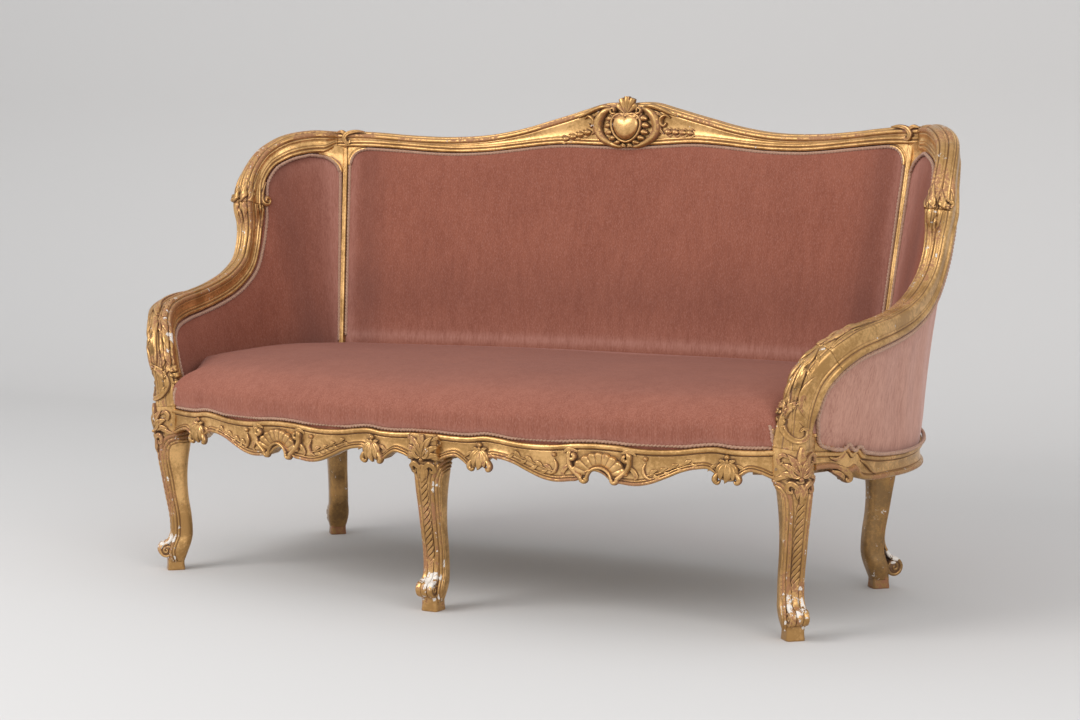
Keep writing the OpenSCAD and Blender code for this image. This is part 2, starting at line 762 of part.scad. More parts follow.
module wing_rail(left) {
    placed(left) color(gilt) difference() {
        rail_piece(0, wing_joint, 15);
        block_at([0, stile_y(crest_low) - frame_t, crest_low - frame_t],
            [crest_end, stile_y(crest_low) + frame_t * 2, back_h + frame_t]);
        stile();
        dowel_set(fit / 2);
    }
}
module crest_rail() {
    top = [for (i = [len(crest_top_shares) - 1:-1:1]) crest_top_shares[i]];
    low = [for (i = [len(crest_low_shares) - 1:-1:1]) crest_low_shares[i]];
    outline = concat(
        [for (p = top) [-crest_end * p[0], back_h + crest_rise * p[1]]],
        [for (p = crest_top_shares) [crest_end * p[0], back_h + crest_rise * p[1]]],
        [for (p = low) [crest_end * p[0], crest_low + crest_rise * p[1]]],
        [for (p = crest_low_shares) [-crest_end * p[0], crest_low + crest_rise * p[1]]]
    );
    placed() color(gilt) difference() {
        intersection() {
            back_band(crest_low, -crest_proud, frame_t,
                crest_low - crest_rise, back_h + crest_rise + overrun);
            elevation(outline, 0, leg_depth * 2);
        }
        for (k = [0, 1])
            mirror([k, 0, 0]) {
                stile_tenon(fit);
                dowel_set(fit / 2);
            }
    }
}
heart_shares = [
    [0, -0.44], [0.2, -0.33], [0.38, -0.12], [0.44, 0.12], [0.38, 0.3], [0.22, 0.38], [0.07, 0.34],
    [0, 0.26], [-0.07, 0.34], [-0.22, 0.38], [-0.38, 0.3], [-0.44, 0.12], [-0.38, -0.12], [-0.2, -0.33],
];
plate_shares = [
    [0, -0.46], [0.5, -0.42], [1, -0.34], [1.28, -0.05], [1.15, 0.25], [0.75, 0.45], [0.35, 0.55],
    [0.2, 0.62], [-0.2, 0.62], [-0.35, 0.55], [-0.65, 0.45], [-1, 0.25], [-1.12, -0.05], [-0.95, -0.32],
    [-0.5, -0.41],
];
boss_share = 0.19;
boss_z = mix(back_h, finial_h, boss_share);
// Height unit of the cartouche above its middle, which follows the finial
boss_reach = 0.76;
boss_up = (finial_h - boss_z) / boss_reach;
function boss_point(p, size) = [boss_w * p[0] * size, boss_z + (p[1] > 0 ? boss_up : boss_w) * p[1] * size];
function crest_face(x) = back_y(x, crest_low) - crest_proud - fit;
module relief(depth) {
    translate([0, crest_face(0) + overrun, 0]) rotate([90, 0, 0])
        linear_extrude(height = depth + overrun) children();
}
// Everything before the crest rail's face, over the cartouche's width
module before_crest() {
    reach = boss_w * 1.5;
    steps = 14;
    linear_extrude(height = finial_h + overrun) polygon(concat(
        [for (i = [0:steps]) let (x = reach * (2 * i / steps - 1)) [x, crest_face(x)]],
        [[reach, crest_face(0) - frame_t], [-reach, crest_face(0) - frame_t]]
    ));
}
module crest_cartouche() {
    lobe = boss_w * 0.13;
    shell_z = finial_h - lobe * 3;
    placed() color(gilt) intersection() {
        union() {
            relief(boss_t / 2) polygon([for (p = plate_shares) boss_point(p, 1)]);
            relief(boss_t) polygon([for (p = heart_shares) boss_point(p, 1)]);
            relief(boss_t * 1.3) polygon([for (p = heart_shares) boss_point(p, 0.7)]);
            relief(boss_t * 0.9) {
                translate([0, shell_z]) circle(r = lobe * 1.6);
                for (k = [-2:2])
                    translate([2 * lobe * sin(k * 40), shell_z + 2 * lobe * cos(k * 40)]) circle(r = lobe);
            }
        }
        before_crest();
    }
}
module joint_pegs() {
    placed() color(beech) for (k = [0, 1]) mirror([k, 0, 0]) peg_set(0);
}
module rail_dowels() {
    placed() color(beech) for (k = [0, 1]) mirror([k, 0, 0]) dowel_set(0);
}

// Seat: outline of the pad, and its rings from the edge up to the crown
pad_side = side_mid + arm_fill + cover_t + arm_crown + overrun;
pad_corner = post_in - cover_gap;
// Kinds of edge, as the third value of an outline point
free_edge = 0;
corner_edge = 1;
tucked_edge = 2;
leaning_edge = 3;
function pad_outline() = let (
    front = [
        for (i = [0:9])
            let (x = pad_corner * i / 9) [x, front_y(x) + lip_t + 2 * clear, free_edge],
    ],
    side = [
        [pad_corner, side_root_y + overrun, corner_edge],
        for (s = [0.9, 1.6, 2.3, 3, 3.7, 4.4, 5]) let (p = side_in(s, pad_side)) [p[0], p[1], tucked_edge],
    ],
    back_x = stile_low[0] - fillet_w - gimp_w,
    back = [
        for (i = [8:-1:0])
            let (x = back_x * i / 8)
                [x, back_y(x, rail_top) + fillet_d - back_crown - overrun, leaning_edge],
    ],
    half = concat(front, side, back)
) concat(half, [for (i = [len(half) - 2:-1:1]) [-half[i][0], half[i][1], half[i][2]]]);
pad_edge = pad_outline();
pad_floor = ledge_h + 3 * web_t;
pad_reach = 290;
// Share of the way in, and height of the crown, for the free front and for the tucked sides
free_shares = [
    [0, 0], [0, 0.14], [-0.028, 0.26], [-0.034, 0.38], [-0.015, 0.5], [0.035, 0.61], [0.12, 0.73],
    [0.25, 0.84], [0.5, 0.95], [0.92, 1],
];
tucked_shares = [
    [0, 0], [0, 0.2], [0, 0.4], [0, 0.56], [0, 0.7], [0.02, 0.82], [0.07, 0.88],
    [0.18, 0.93], [0.45, 0.98], [0.92, 1],
];
function free_part(b) = b[2] == free_edge ? 1 : b[2] == corner_edge ? 0.6 : 0;
function pad_share(b, k) = mix(tucked_shares[k], free_shares[k], free_part(b));
function pad_point(b, k, inset) =
    let (
        p = pad_share(b, k), a = pad_share(b, max(0, k - 1)), c = pad_share(b, min(9, k + 1)),
        run = unit([(c[0] - a[0]) * pad_reach, (c[1] - a[1]) * seat_crown]),
        spine = [max(-post_x * 0.6, min(post_x * 0.6, b[0])), leg_depth * 0.43],
        share = p[0] + inset * (k == 0 ? 1 : run[1]) / pad_reach,
        rise = p[1] * seat_crown - (k == 0 ? 0 : inset * run[0]),
        q = mix([b[0], b[1]], spine, share)
    )
    [q[0], q[1] + (b[2] == leaning_edge ? rise * back_lean / (crest_low - rail_top) : 0), pad_floor + rise];
function pad_rings(inset) = [for (k = [0:9]) [for (b = pad_edge) pad_point(b, k, inset)]];
// Shell between two lists of rings that share a floor, closed at the crown
module shell(outer, inner) {
    n = len(outer);
    m = len(outer[0]);
    function crown(list) = [for (p = list[n - 1]) 1] * list[n - 1] / m;
    function skin(base, flip) = [
        for (i = [0:n - 2], j = [0:m - 1])
            let (a = base + i * m + j, b = base + i * m + (j + 1) % m, c = a + m, d = b + m)
                for (f = flip ? [[a, b, c], [b, d, c]] : [[a, c, b], [b, c, d]]) f,
    ];
    function cap(base, tip, flip) = [
        for (j = [0:m - 1])
            let (a = base + (n - 1) * m + j, b = base + (n - 1) * m + (j + 1) % m)
                flip ? [tip, a, b] : [tip, b, a],
    ];
    polyhedron(
        points = concat([for (r = outer, p = r) p], [for (r = inner, p = r) p], [crown(outer), crown(inner)]),
        faces = concat(
            skin(0, false), skin(n * m, true), cap(0, 2 * n * m, false), cap(n * m, 2 * n * m + 1, true),
            [
                for (j = [0:m - 1])
                    let (a = j, b = (j + 1) % m, c = a + n * m, d = b + n * m)
                        for (f = [[a, b, c], [b, d, c]]) f,
            ]
        )
    );
}
// Outline of the cloths on the ledges of the rails
cloth_side = 14;
function cloth_outline() = let (
    front = [for (i = [0:9]) [pad_corner * i / 9, front_y(pad_corner * i / 9) + lip_t + clear]],
    side = [
        [pad_corner, side_root_y + overrun / 2], [side_in(0.2, cloth_side)[0], side_root_y + overrun / 2],
        for (s = [0.5, 1.2, 1.9, 2.6, 3.3, 4, 4.6]) side_in(s, cloth_side),
    ],
    back_x = stile_low[0] - stile_in - gimp_w,
    back = [
        [stile_low[0], stile_low[1] - gimp_w], [back_x, stile_low[1]],
        for (i = [8:-1:0]) let (x = back_x * i / 8) [x, back_y(x, rail_top) + web_set],
    ],
    half = concat(front, side, back)
) concat(half, [for (i = [len(half) - 2:-1:1]) [-half[i][0], half[i][1]]]);
module cloth(low, high) {
    translate([0, 0, low]) linear_extrude(height = high - low) polygon(cloth_outline());
}
webs_deep = 17;
webs_long = 7;
module seat_webbing() {
    pitch_x = 2 * post_in / webs_deep;
    pitch_y = leg_depth / webs_long;
    placed() color(jute) {
        intersection() {
            cloth(ledge_h, ledge_h + web_t);
            for (i = [0:webs_deep - 1])
                translate([-post_in + pitch_x * (i + 0.5) - web_w / 2, front_edge, ledge_h])
                    cube([web_w, leg_depth * 2, web_t]);
        }
        intersection() {
            cloth(ledge_h + web_t, ledge_h + 2 * web_t);
            for (i = [0:webs_long - 1])
                translate([-post_x * 2, pitch_y * (i + 0.5) - web_w / 2, ledge_h + web_t])
                    cube([post_x * 4, web_w, web_t]);
        }
    }
}
module seat_hessian() {
    placed() color(jute) cloth(ledge_h + 2 * web_t, pad_floor);
}
module seat_stuffing() {
    placed() color(hair) rings(pad_rings(cover_t));
}
module seat_cover() {
    placed() color(velvet) shell(pad_rings(0), pad_rings(cover_t));
}

// Back: layers between the stiles, by depth behind the face line
back_tuck = 20;
back_from = rail_top + back_tuck;
back_nu = 24;
back_nv = 8;
function back_grid(from, to, edge, full) = [
    for (i = [0:back_nu])
        let (u = 2 * i / back_nu - 1)
        [
            for (j = [0:back_nv])
                let (
                    v = j / back_nv, top = crest_low_at(u * stile_high[0]) - cover_gap,
                    z = mix(from, min(to, top), v),
                    x = u * (stile_x(z) - fillet_w / 2 - clear)
                )
                [x, back_y(x, z, edge) - full * swell((u + 1) / 2, 4) * swell(v, 4), z],
        ],
];
module back_stuffing() {
    placed() color(hair) slab(
        back_grid(back_from, finial_h, fillet_d + cover_t, back_crown),
        back_grid(back_from, finial_h, web_set - 2 * web_t - 2 * clear, 0)
    );
}
module back_cover_inside() {
    placed() color(velvet) slab(
        back_grid(back_from, finial_h, fillet_d, back_crown),
        back_grid(back_from, finial_h, fillet_d + cover_t, back_crown)
    );
}
back_webs = 13;
back_webs_across = 4;
module web_slab(points, near, far) {
    slab(
        [for (r = points) [for (p = r) [p[0], back_y(p[0], p[1], near), p[1]]]],
        [for (r = points) [for (p = r) [p[0], back_y(p[0], p[1], far), p[1]]]]
    );
}
module back_webbing() {
    pitch_x = 2 * (stile_low[0] - fillet_w) / back_webs;
    pitch_z = (crest_low - back_from - web_w) / back_webs_across;
    near = web_set - 2 * web_t;
    placed() color(jute) {
        for (i = [0:back_webs - 1])
            let (x = pitch_x * (i + 0.5 - back_webs / 2))
                web_slab([
                    for (k = [-0.5, 0.5])
                        [
                            for (z = [0, 1])
                                [x + k * web_w, z == 0 ? back_from : crest_low_at(x + k * web_w) - cover_gap],
                        ],
                ], near, near + web_t);
        for (i = [0:back_webs_across - 1])
            let (z = back_from + web_w / 2 + pitch_z * (i + 0.5))
                web_slab([
                    for (u = [0:14])
                        [
                            for (k = [-0.5, 0.5])
                                let (h = z + k * web_w)
                                    [(u / 7 - 1) * (stile_x(h) - fillet_w / 2 - clear), h],
                        ],
                ], near + web_t, web_set);
    }
}
module back_cover_outside() {
    crest_dip = crest_low - crest_rise * 0.1;
    n = back_nu / 2;
    // Columns to the inner edge of the stile, then one over its back
    function place(k, z) =
        let (i = abs(k), inner = stile_x(z) - stile_in)
        sign(k) * (i < n ? inner * i / (n - 1) : stile_x(z) + stile_out - overrun);
    function sheet(d) = [
        for (k = [-n:n])
            [
                for (z = [back_low, (back_low + crest_low) / 2, crest_dip, crest_low + outer_lap])
                    let (x = place(k, z), t = frame_t + clear + d, level = z < crest_dip ? z : crest_low)
                        [x, abs(k) < n ? back_y(x, level, t) : stile_y(z) + t, z],
            ],
    ];
    placed() color(velvet) slab(sheet(0), sheet(cover_t));
}

// Arms: layers of the panel between the rails and the stile
arm_nu = 18;
arm_nv = 7;
function panel_grid(edge, full, low = false) = [
    for (i = [0:arm_nu]) [for (j = [0:arm_nv]) layer_at(i / arm_nu, j / arm_nv, edge, full, low)],
];
module arm_stuffing(left) {
    placed(left) color(hair) slab(panel_grid(-web_t, 0), panel_grid(-arm_fill, -arm_crown));
}
module arm_cover_inside(left) {
    placed(left) color(velvet)
        slab(panel_grid(-arm_fill, -arm_crown), panel_grid(-arm_fill - cover_t, -arm_crown));
}
module arm_cover_outside(left) {
    placed(left) color(velvet)
        slab(panel_grid(arm_side, arm_crown / 2, true), panel_grid(arm_side - cover_t, arm_crown / 2, true));
}
arm_web_columns = [1, 4, 7, 10, 13, 16];
arm_web_rows = [2, 4];
module arm_webbing(left) {
    function web(us, vs, d) = [for (i = us) [for (j = vs) layer_at(i / arm_nu, j / arm_nv, d, 0)]];
    placed(left) color(jute) {
        for (i = arm_web_columns)
            let (us = [i, i + 1], vs = [0:arm_nv]) slab(web(us, vs, 0), web(us, vs, -web_t));
        for (j = arm_web_rows)
            let (us = [0:arm_nu], vs = [j, j + 1]) slab(web(us, vs, web_t), web(us, vs, 0));
    }
}

// Gimp along the borders
gimp_r = gimp_w / 2;
gimp_off = gimp_r + clear;
gimp_low = pad_floor + seat_crown * 0.95;
module seat_gimp() {
    n = 36;
    end = post_in - cover_gap;
    placed() color(braid) cord([
        for (i = [0:n])
            let (x = end * (2 * i / n - 1), top = max(front_top(x), abs(x) < head_w ? middle_top : 0))
                [x, front_y(x) + lip_t / 2, top + gimp_off + cover_gap],
    ], gimp_r, 5);
}
function fillet_gimp(z, side, reach) =
    [side * (stile_x(z) + reach), stile_y(z), z];
module back_gimp() {
    n = 36;
    reach = -fillet_w / 2 - gimp_off;
    top = crest_low - gimp_w;
    end = stile_x(top) + reach;
    placed() color(braid) cord(concat(
        [for (i = [0:5]) fillet_gimp(mix(gimp_low, top, i / 6), -1, reach)],
        [
            for (i = [0:n])
                let (x = end * (2 * i / n - 1), z = crest_low_at(x) - gimp_off - cover_gap)
                    [x, back_y(x, z) - overrun, z],
        ],
        [for (i = [5:-1:0]) fillet_gimp(mix(gimp_low, top, i / 6), 1, reach)]
    ), gimp_r, 5);
}
// Place of the gimp on a face of the arm panel, along the rail; lift is off the face
function gimp_beside(s, d, lift) =
    let (
        u = min(0.93, (s - wing_from) / (arm_joint - wing_from)),
        v = max(0.05, (s - arm_joint) / (rail_line_end - arm_joint)),
        n = panel_normal(u, v, false), m = gimp_off + cover_gap,
        slope = (m - rail_gap) * (n * rail_in(s)),
        rise = (sign(d) * (gimp_off + lift) - slope) / (n * rail_out(s))
    )
    beside(s, m, d + rise);
gimp_lift = 3.5;
gimp_from = 0.7;
gimp_to = rail_line_end - 0.7;
gimp_steps = 34;
module arm_gimp_inside(left) {
    top = beside(gimp_from, 0, 0)[2] - gimp_w;
    placed(left) color(braid) cord(concat(
        [
            for (i = [0:5])
                let (z = mix(gimp_low, top, i / 5))
                    [stile_x(z) + fillet_w / 2 + gimp_w * 0.25, stile_y(z) - gimp_w * 1.15, z],
        ],
        [
            for (i = [0:gimp_steps])
                gimp_beside(mix(gimp_from, gimp_to, i / gimp_steps), -arm_fill - cover_t, gimp_lift),
        ]
    ), gimp_r, 5);
}
module arm_gimp_outside(left) {
    foot = 14;
    placed(left) color(braid) cord(concat(
        [
            for (i = [0:gimp_steps])
                gimp_beside(mix(gimp_from, gimp_to, i / gimp_steps), arm_side, gimp_lift),
        ],
        [
            for (i = [0:foot])
                let (p = side_in(mix(0.4, side_last - 0.6, i / foot), cover_t - gimp_off - 2 * overrun))
                    [p[0], p[1], side_top(p[1]) + gimp_off],
        ],
        [
            for (i = [0:4])
                let (z = mix(rail_top + gimp_w, crest_low - gimp_w * 2, i / 4))
                    [stile_x(z) + stile_out + gimp_off + gimp_lift, stile_y(z) + stile_out - gimp_r, z],
        ]
    ), gimp_r, 5);
}

front_leg(true);  // front_leg_left
front_leg_middle();
front_leg(false);  // front_leg_right
back_post(true);  // back_post_left
back_post(false);  // back_post_right
front_rail(true);  // front_rail_left
front_rail(false);  // front_rail_right
side_rail(true);  // side_rail_left
side_rail(false);  // side_rail_right
back_rail();
lower_back_rail();
seat_brace();
corner_block_front(true);  // corner_block_front_left
corner_block_front(false);  // corner_block_front_right
corner_block_back(true);  // corner_block_back_left
corner_block_back(false);  // corner_block_back_right
arm_support(true);  // arm_support_left
arm_support(false);  // arm_support_right
arm_rail(true);  // arm_rail_left
arm_rail(false);  // arm_rail_right
wing_rail(true);  // wing_rail_left
wing_rail(false);  // wing_rail_right
crest_rail();
crest_cartouche();
joint_pegs();
rail_dowels();
seat_webbing();
seat_hessian();
seat_stuffing();
seat_cover();
back_webbing();
back_stuffing();
back_cover_inside();
back_cover_outside();
arm_webbing(true);  // arm_webbing_left
arm_webbing(false);  // arm_webbing_right
arm_stuffing(true);  // arm_stuffing_left
arm_stuffing(false);  // arm_stuffing_right
arm_cover_inside(true);  // arm_cover_inside_left
arm_cover_inside(false);  // arm_cover_inside_right
arm_cover_outside(true);  // arm_cover_outside_left
arm_cover_outside(false);  // arm_cover_outside_right
seat_gimp();
back_gimp();
arm_gimp_inside(true);  // arm_gimp_inside_left
arm_gimp_inside(false);  // arm_gimp_inside_right
arm_gimp_outside(true);  // arm_gimp_outside_left
arm_gimp_outside(false);  // arm_gimp_outside_right
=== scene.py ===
"""Cabriole sofa: carved and gilded frame, velvet upholstery, and a plain studio stage."""

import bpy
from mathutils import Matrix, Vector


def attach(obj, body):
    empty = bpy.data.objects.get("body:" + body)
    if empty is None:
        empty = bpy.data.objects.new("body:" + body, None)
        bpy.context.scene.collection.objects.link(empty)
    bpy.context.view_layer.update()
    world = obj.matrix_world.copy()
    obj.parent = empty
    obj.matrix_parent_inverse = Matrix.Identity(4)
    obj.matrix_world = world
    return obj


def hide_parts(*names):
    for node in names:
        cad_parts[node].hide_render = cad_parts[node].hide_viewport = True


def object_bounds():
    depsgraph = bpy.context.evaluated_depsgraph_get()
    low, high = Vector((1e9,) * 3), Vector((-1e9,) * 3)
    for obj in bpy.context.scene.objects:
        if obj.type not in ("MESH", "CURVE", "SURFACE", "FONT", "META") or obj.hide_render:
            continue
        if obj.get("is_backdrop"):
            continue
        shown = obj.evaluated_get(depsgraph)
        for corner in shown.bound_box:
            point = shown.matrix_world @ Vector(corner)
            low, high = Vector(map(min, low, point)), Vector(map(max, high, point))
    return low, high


bl_info = {
    "name": "Cabriole Sofa",
    "version": (1, 0, 0),
    "blender": (4, 5, 0),
    "location": "3D View > Sidebar > Sofa",
    "description": "Builds the dressed model of a carved giltwood cabriole sofa over its CAD frame",
    "category": "Object",
}

import bmesh
import bpy
import numpy as np

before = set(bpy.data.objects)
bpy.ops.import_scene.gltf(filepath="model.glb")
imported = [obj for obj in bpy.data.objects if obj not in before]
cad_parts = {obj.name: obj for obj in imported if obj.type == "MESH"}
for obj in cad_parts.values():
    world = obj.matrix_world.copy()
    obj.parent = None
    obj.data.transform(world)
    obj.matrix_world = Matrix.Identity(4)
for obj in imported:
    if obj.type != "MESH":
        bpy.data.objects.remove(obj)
CAD_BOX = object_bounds()

# Tables of the shared lines, as in the part's source
APRON = [
    [0, 0.67], [0.03, 0.7], [0.06, 0.77], [0.1, 0.92], [0.16, 0.97], [0.24, 1], [0.31, 0.95],
    [0.41, 0.78], [0.5, 0.6], [0.59, 0.5], [0.66, 0.5], [0.7, 0.62], [0.74, 0.75], [0.79, 0.76],
    [0.83, 0.63], [0.87, 0.53], [0.94, 0.56], [1, 0.67],
]
WAVE = [
    [0, 0.5], [0.13, 0.2], [0.25, -0.5], [0.4, -0.6], [0.5, -0.2], [0.6, 0.6], [0.69, 1],
    [0.78, 0.4], [0.9, 0.3], [1, 0.6],
]
SIDE_LINE = [
    [0.26, 0.035], [0.61, 0.212], [0.85, 0.425], [1, 0.637], [0.976, 0.796], [0.7, 0.93], [0.12, 1.035],
]
SIDE_TOP = [[0, 0], [0.15, 0.2], [0.4, 0.9], [0.65, 1], [0.82, 0.7], [0.94, 0.28], [1.1, 0.28]]
SIDE_LOW = [[0, 0.5], [0.12, 0.5], [0.25, 0.85], [0.5, 1], [0.8, 0.95], [1.1, 0.7]]
CREST_TOP = [
    [0, 1], [0.08, 1], [0.155, 0.8], [0.22, 0.61], [0.285, 0.43], [0.35, 0.25], [0.42, 0.1],
    [0.485, 0], [0.61, -0.07], [0.775, 0], [0.86, 0.08], [0.95, 0.13], [1, 0.12],
]
CREST_LOW = [
    [0, 0.1], [0.11, 0.15], [0.24, 0.19], [0.33, 0.12], [0.41, 0.03], [0.47, -0.03], [0.54, -0.07],
    [0.6, -0.08], [0.67, -0.05], [0.78, 0.04], [0.9, 0.12], [1, 0.12],
]
RAIL_LINE = [
    [0, 1, 1], [0.38, 0.943, 1.01], [0.66, 0.86, 0.995], [0.85, 0.803, 0.965], [0.95, 0.753, 0.925],
    [1, 0.702, 0.85], [0.99, 0.676, 0.753], [0.96, 0.672, 0.673], [0.93, 0.654, 0.588],
    [0.89, 0.611, 0.508], [0.87, 0.53, 0.447], [0.85, 0.428, 0.407], [0.81, 0.318, 0.381],
    [0.75, 0.212, 0.363], [0.615, 0.114, 0.339], [0.43, 0.044, 0.295], [0.23, 0.002, 0.229],
    [0.115, -0.009, 0.146], [0.055, -0.004, 0.071], [0.02, 0, 0],
]
RAIL_WIDTH = [
    [0, 1.12], [2, 1.14], [5, 1.05], [6, 1.25], [7, 1.05], [10, 1], [13, 1.05], [15, 1.2],
    [16, 1.25], [17, 1.15], [19, 1.1],
]
RAIL_TURN = [[0, 1], [2, 0.8], [4, 0.4], [6, 0.15], [12, 0.05], [14, -0.3], [16, -0.5], [19, -0.4]]
LEG = [
    [1.03, 0.78, -0.87, 0.7], [0.92, 0.76, -0.76, 0.64], [0.83, 0.71, -0.67, 0.59],
    [0.7, 0.56, -0.61, 0.54], [0.55, 0.39, -0.65, 0.51], [0.41, 0.22, -0.78, 0.5],
    [0.31, 0.18, -0.83, 0.5], [0.25, 0.2, -0.82, 0.51], [0.2, 0.3, -0.74, 0.55],
    [0.14, 0.42, -0.6, 0.54], [0.06, 0.35, -0.4, 0.42],
]
PAD_FREE = [
    [0, 0], [-0.014, 0.085], [-0.028, 0.12], [-0.034, 0.21], [-0.029, 0.42], [0.01, 0.57], [0.09, 0.71],
    [0.22, 0.83], [0.48, 0.95], [0.92, 1], [1, 1],
]
PAD_TUCKED = [
    [0, 0], [0, 0.2], [0, 0.4], [0, 0.56], [0, 0.7], [0.02, 0.82], [0.07, 0.88],
    [0.18, 0.93], [0.45, 0.98], [0.92, 1], [1, 1],
]

# Places along RAIL_LINE where the wing rail, the arm rail and the arm support end
WING_END, ARM_END, RAIL_END = 6, 15, 19
# Section of the upper rails, in shares of their half width
SECTION = [
    [-0.8, 1.0], [-0.98, 0.9], [-1.0, 0.5], [-1.0, 0.0], [-0.99, -0.45], [-0.9, -0.78], [-0.62, -0.95],
    [-0.25, -1.0], [0.0, -1.01], [0.25, -1.0], [0.62, -0.95], [0.9, -0.78], [0.99, -0.45], [1.0, 0.0],
    [1.0, 0.5], [0.98, 0.9], [0.8, 1.0],
]
# Points round the section, and the millimetres that they stand for
MOULD_COLUMNS, MOULD_GIRTH = 132, 124
# Radius of the gilt corners round the velvet
CORNER_R = 36.0
# Heights between which a leg turns into its head
HEAD_Z = (276, 316)
# Middles of the husks and of the shell along a front rail, and height of the cartouche's boss
HUSK_X, SHELL_X, BOSS_Z = (631, 128), 382, 985.0
# Height at which the seat meets the back
SEAT_LINE = 470
# Millimetres of the arm panel that its u and v stand for, inside at the wing and outside at the support's foot
WING_SPAN, FOOT_SPAN = (640, 585), (980, 235)
# Camera that sees what the photograph sees, and the lamps with their places, turns, sizes and shares of the light
CAMERA_AT, CAMERA_TURN = (2.341, -4.0969, 0.897), (np.pi / 2 - 0.086, 0, 0.51)
LENS, SENSOR, LENS_SHIFT = 72.34, 36, (-0.0175, -0.0065)
LAMPS = [
    ("key", (-2.2, -3.6, 3.4), (0.85, 0, -0.5), 2.6, 2.4),
    ("fill", (3.6, -2.6, 2.2), (1.1, 0, 0.95), 2.4, 1.0),
]
SKY_TINT = (0.95, 0.97, 1.0)
SIDES = (("left", True), ("right", False))


# Curves
def mix(a, b, t):
    """a at t = 0, b at t = 1, straight between them."""
    return a + (b - a) * t


def unit(v):
    """Each vector over its own length."""
    return v / np.maximum(np.linalg.norm(v, axis=-1, keepdims=True), 1e-12)


def spline(rows, s):
    """Catmull-Rom curve through the rows, where s counts the rows."""
    p = np.asarray(rows, float)
    s = np.asarray(s, float)
    k = np.clip(np.floor(s).astype(int), 0, len(p) - 2)
    t = (s - k)[..., None]
    a, b, c, d = (p[np.clip(k + i, 0, len(p) - 1)] for i in (-1, 0, 1, 2))
    return (2 * b + (c - a) * t + (2 * a - 5 * b + 4 * c - d) * t**2 + (3 * b - a - 3 * c + d) * t**3) / 2


def graph(rows, x):
    """Height of a smooth graph through the rows: a cubic between neighbours, with their mean slopes."""
    rows = np.asarray(rows, float)
    xs, ys = rows[:, 0], rows[:, 1]
    if xs[0] > xs[-1]:
        xs, ys = xs[::-1], ys[::-1]
    slope = np.gradient(ys, xs)
    x = np.clip(np.asarray(x, float), xs[0], xs[-1])
    k = np.clip(np.searchsorted(xs, x) - 1, 0, len(xs) - 2)
    h = xs[k + 1] - xs[k]
    t = (x - xs[k]) / h
    return (
        ys[k] * (1 + 2 * t) * (1 - t) ** 2 + h * slope[k] * t * (1 - t) ** 2
        + ys[k + 1] * t * t * (3 - 2 * t) + h * slope[k + 1] * t * t * (t - 1)
    )


def along(values, t):
    """Smooth curve through single values, evenly spaced as t goes from 0 to 1."""
    values = np.reshape(values, (-1, 1)).astype(float)
    return spline(values, t * (len(values) - 1))[:, 0] if len(values) > 1 else values[0] + 0 * t


def run_of(points):
    """Distance along a line of points, from its start to each of them."""
    return np.concatenate([[0], np.cumsum(np.linalg.norm(np.diff(points, axis=0), axis=1))])


def squared(v, power):
    """A sine or cosine drawn out, so that a circle becomes a superellipse."""
    return np.sign(v) * np.abs(v) ** power


def arc(x, half, bow, d=0.0):
    """Height at x of a circle's arc that rises by bow over a half chord, or of the circle d outside it."""
    r = (half * half + bow * bow) / (2 * bow)
    return np.sqrt((r + d) ** 2 - np.asarray(x, float) ** 2) - (r - bow)


def swell(t, power):
    """0 at both ends and 1 in the middle: a superellipse's height."""
    return np.clip(1 - np.abs(2 * t - 1) ** power, 0, 1) ** (1 / power)


def ease(a, b, x):
    """0 below a, 1 above b, a smooth step between."""
    t = np.clip((np.asarray(x, float) - a) / (b - a), 0, 1)
    return t * t * (3 - 2 * t)


def roll(x, centre, half):
    """A half round of height 1 and this half width about its centre."""
    return np.sqrt(np.clip(1 - ((x - centre) / half) ** 2, 0, 1))


def groove(x, centre, width):
    """A soft groove of depth 1: a bell curve of this width."""
    return np.exp(-(((x - centre) / width) ** 2))


def xyz(x, y, z):
    """Three coordinates, of any shapes that agree, as points."""
    return np.stack(np.broadcast_arrays(x, y, z), -1).astype(float)


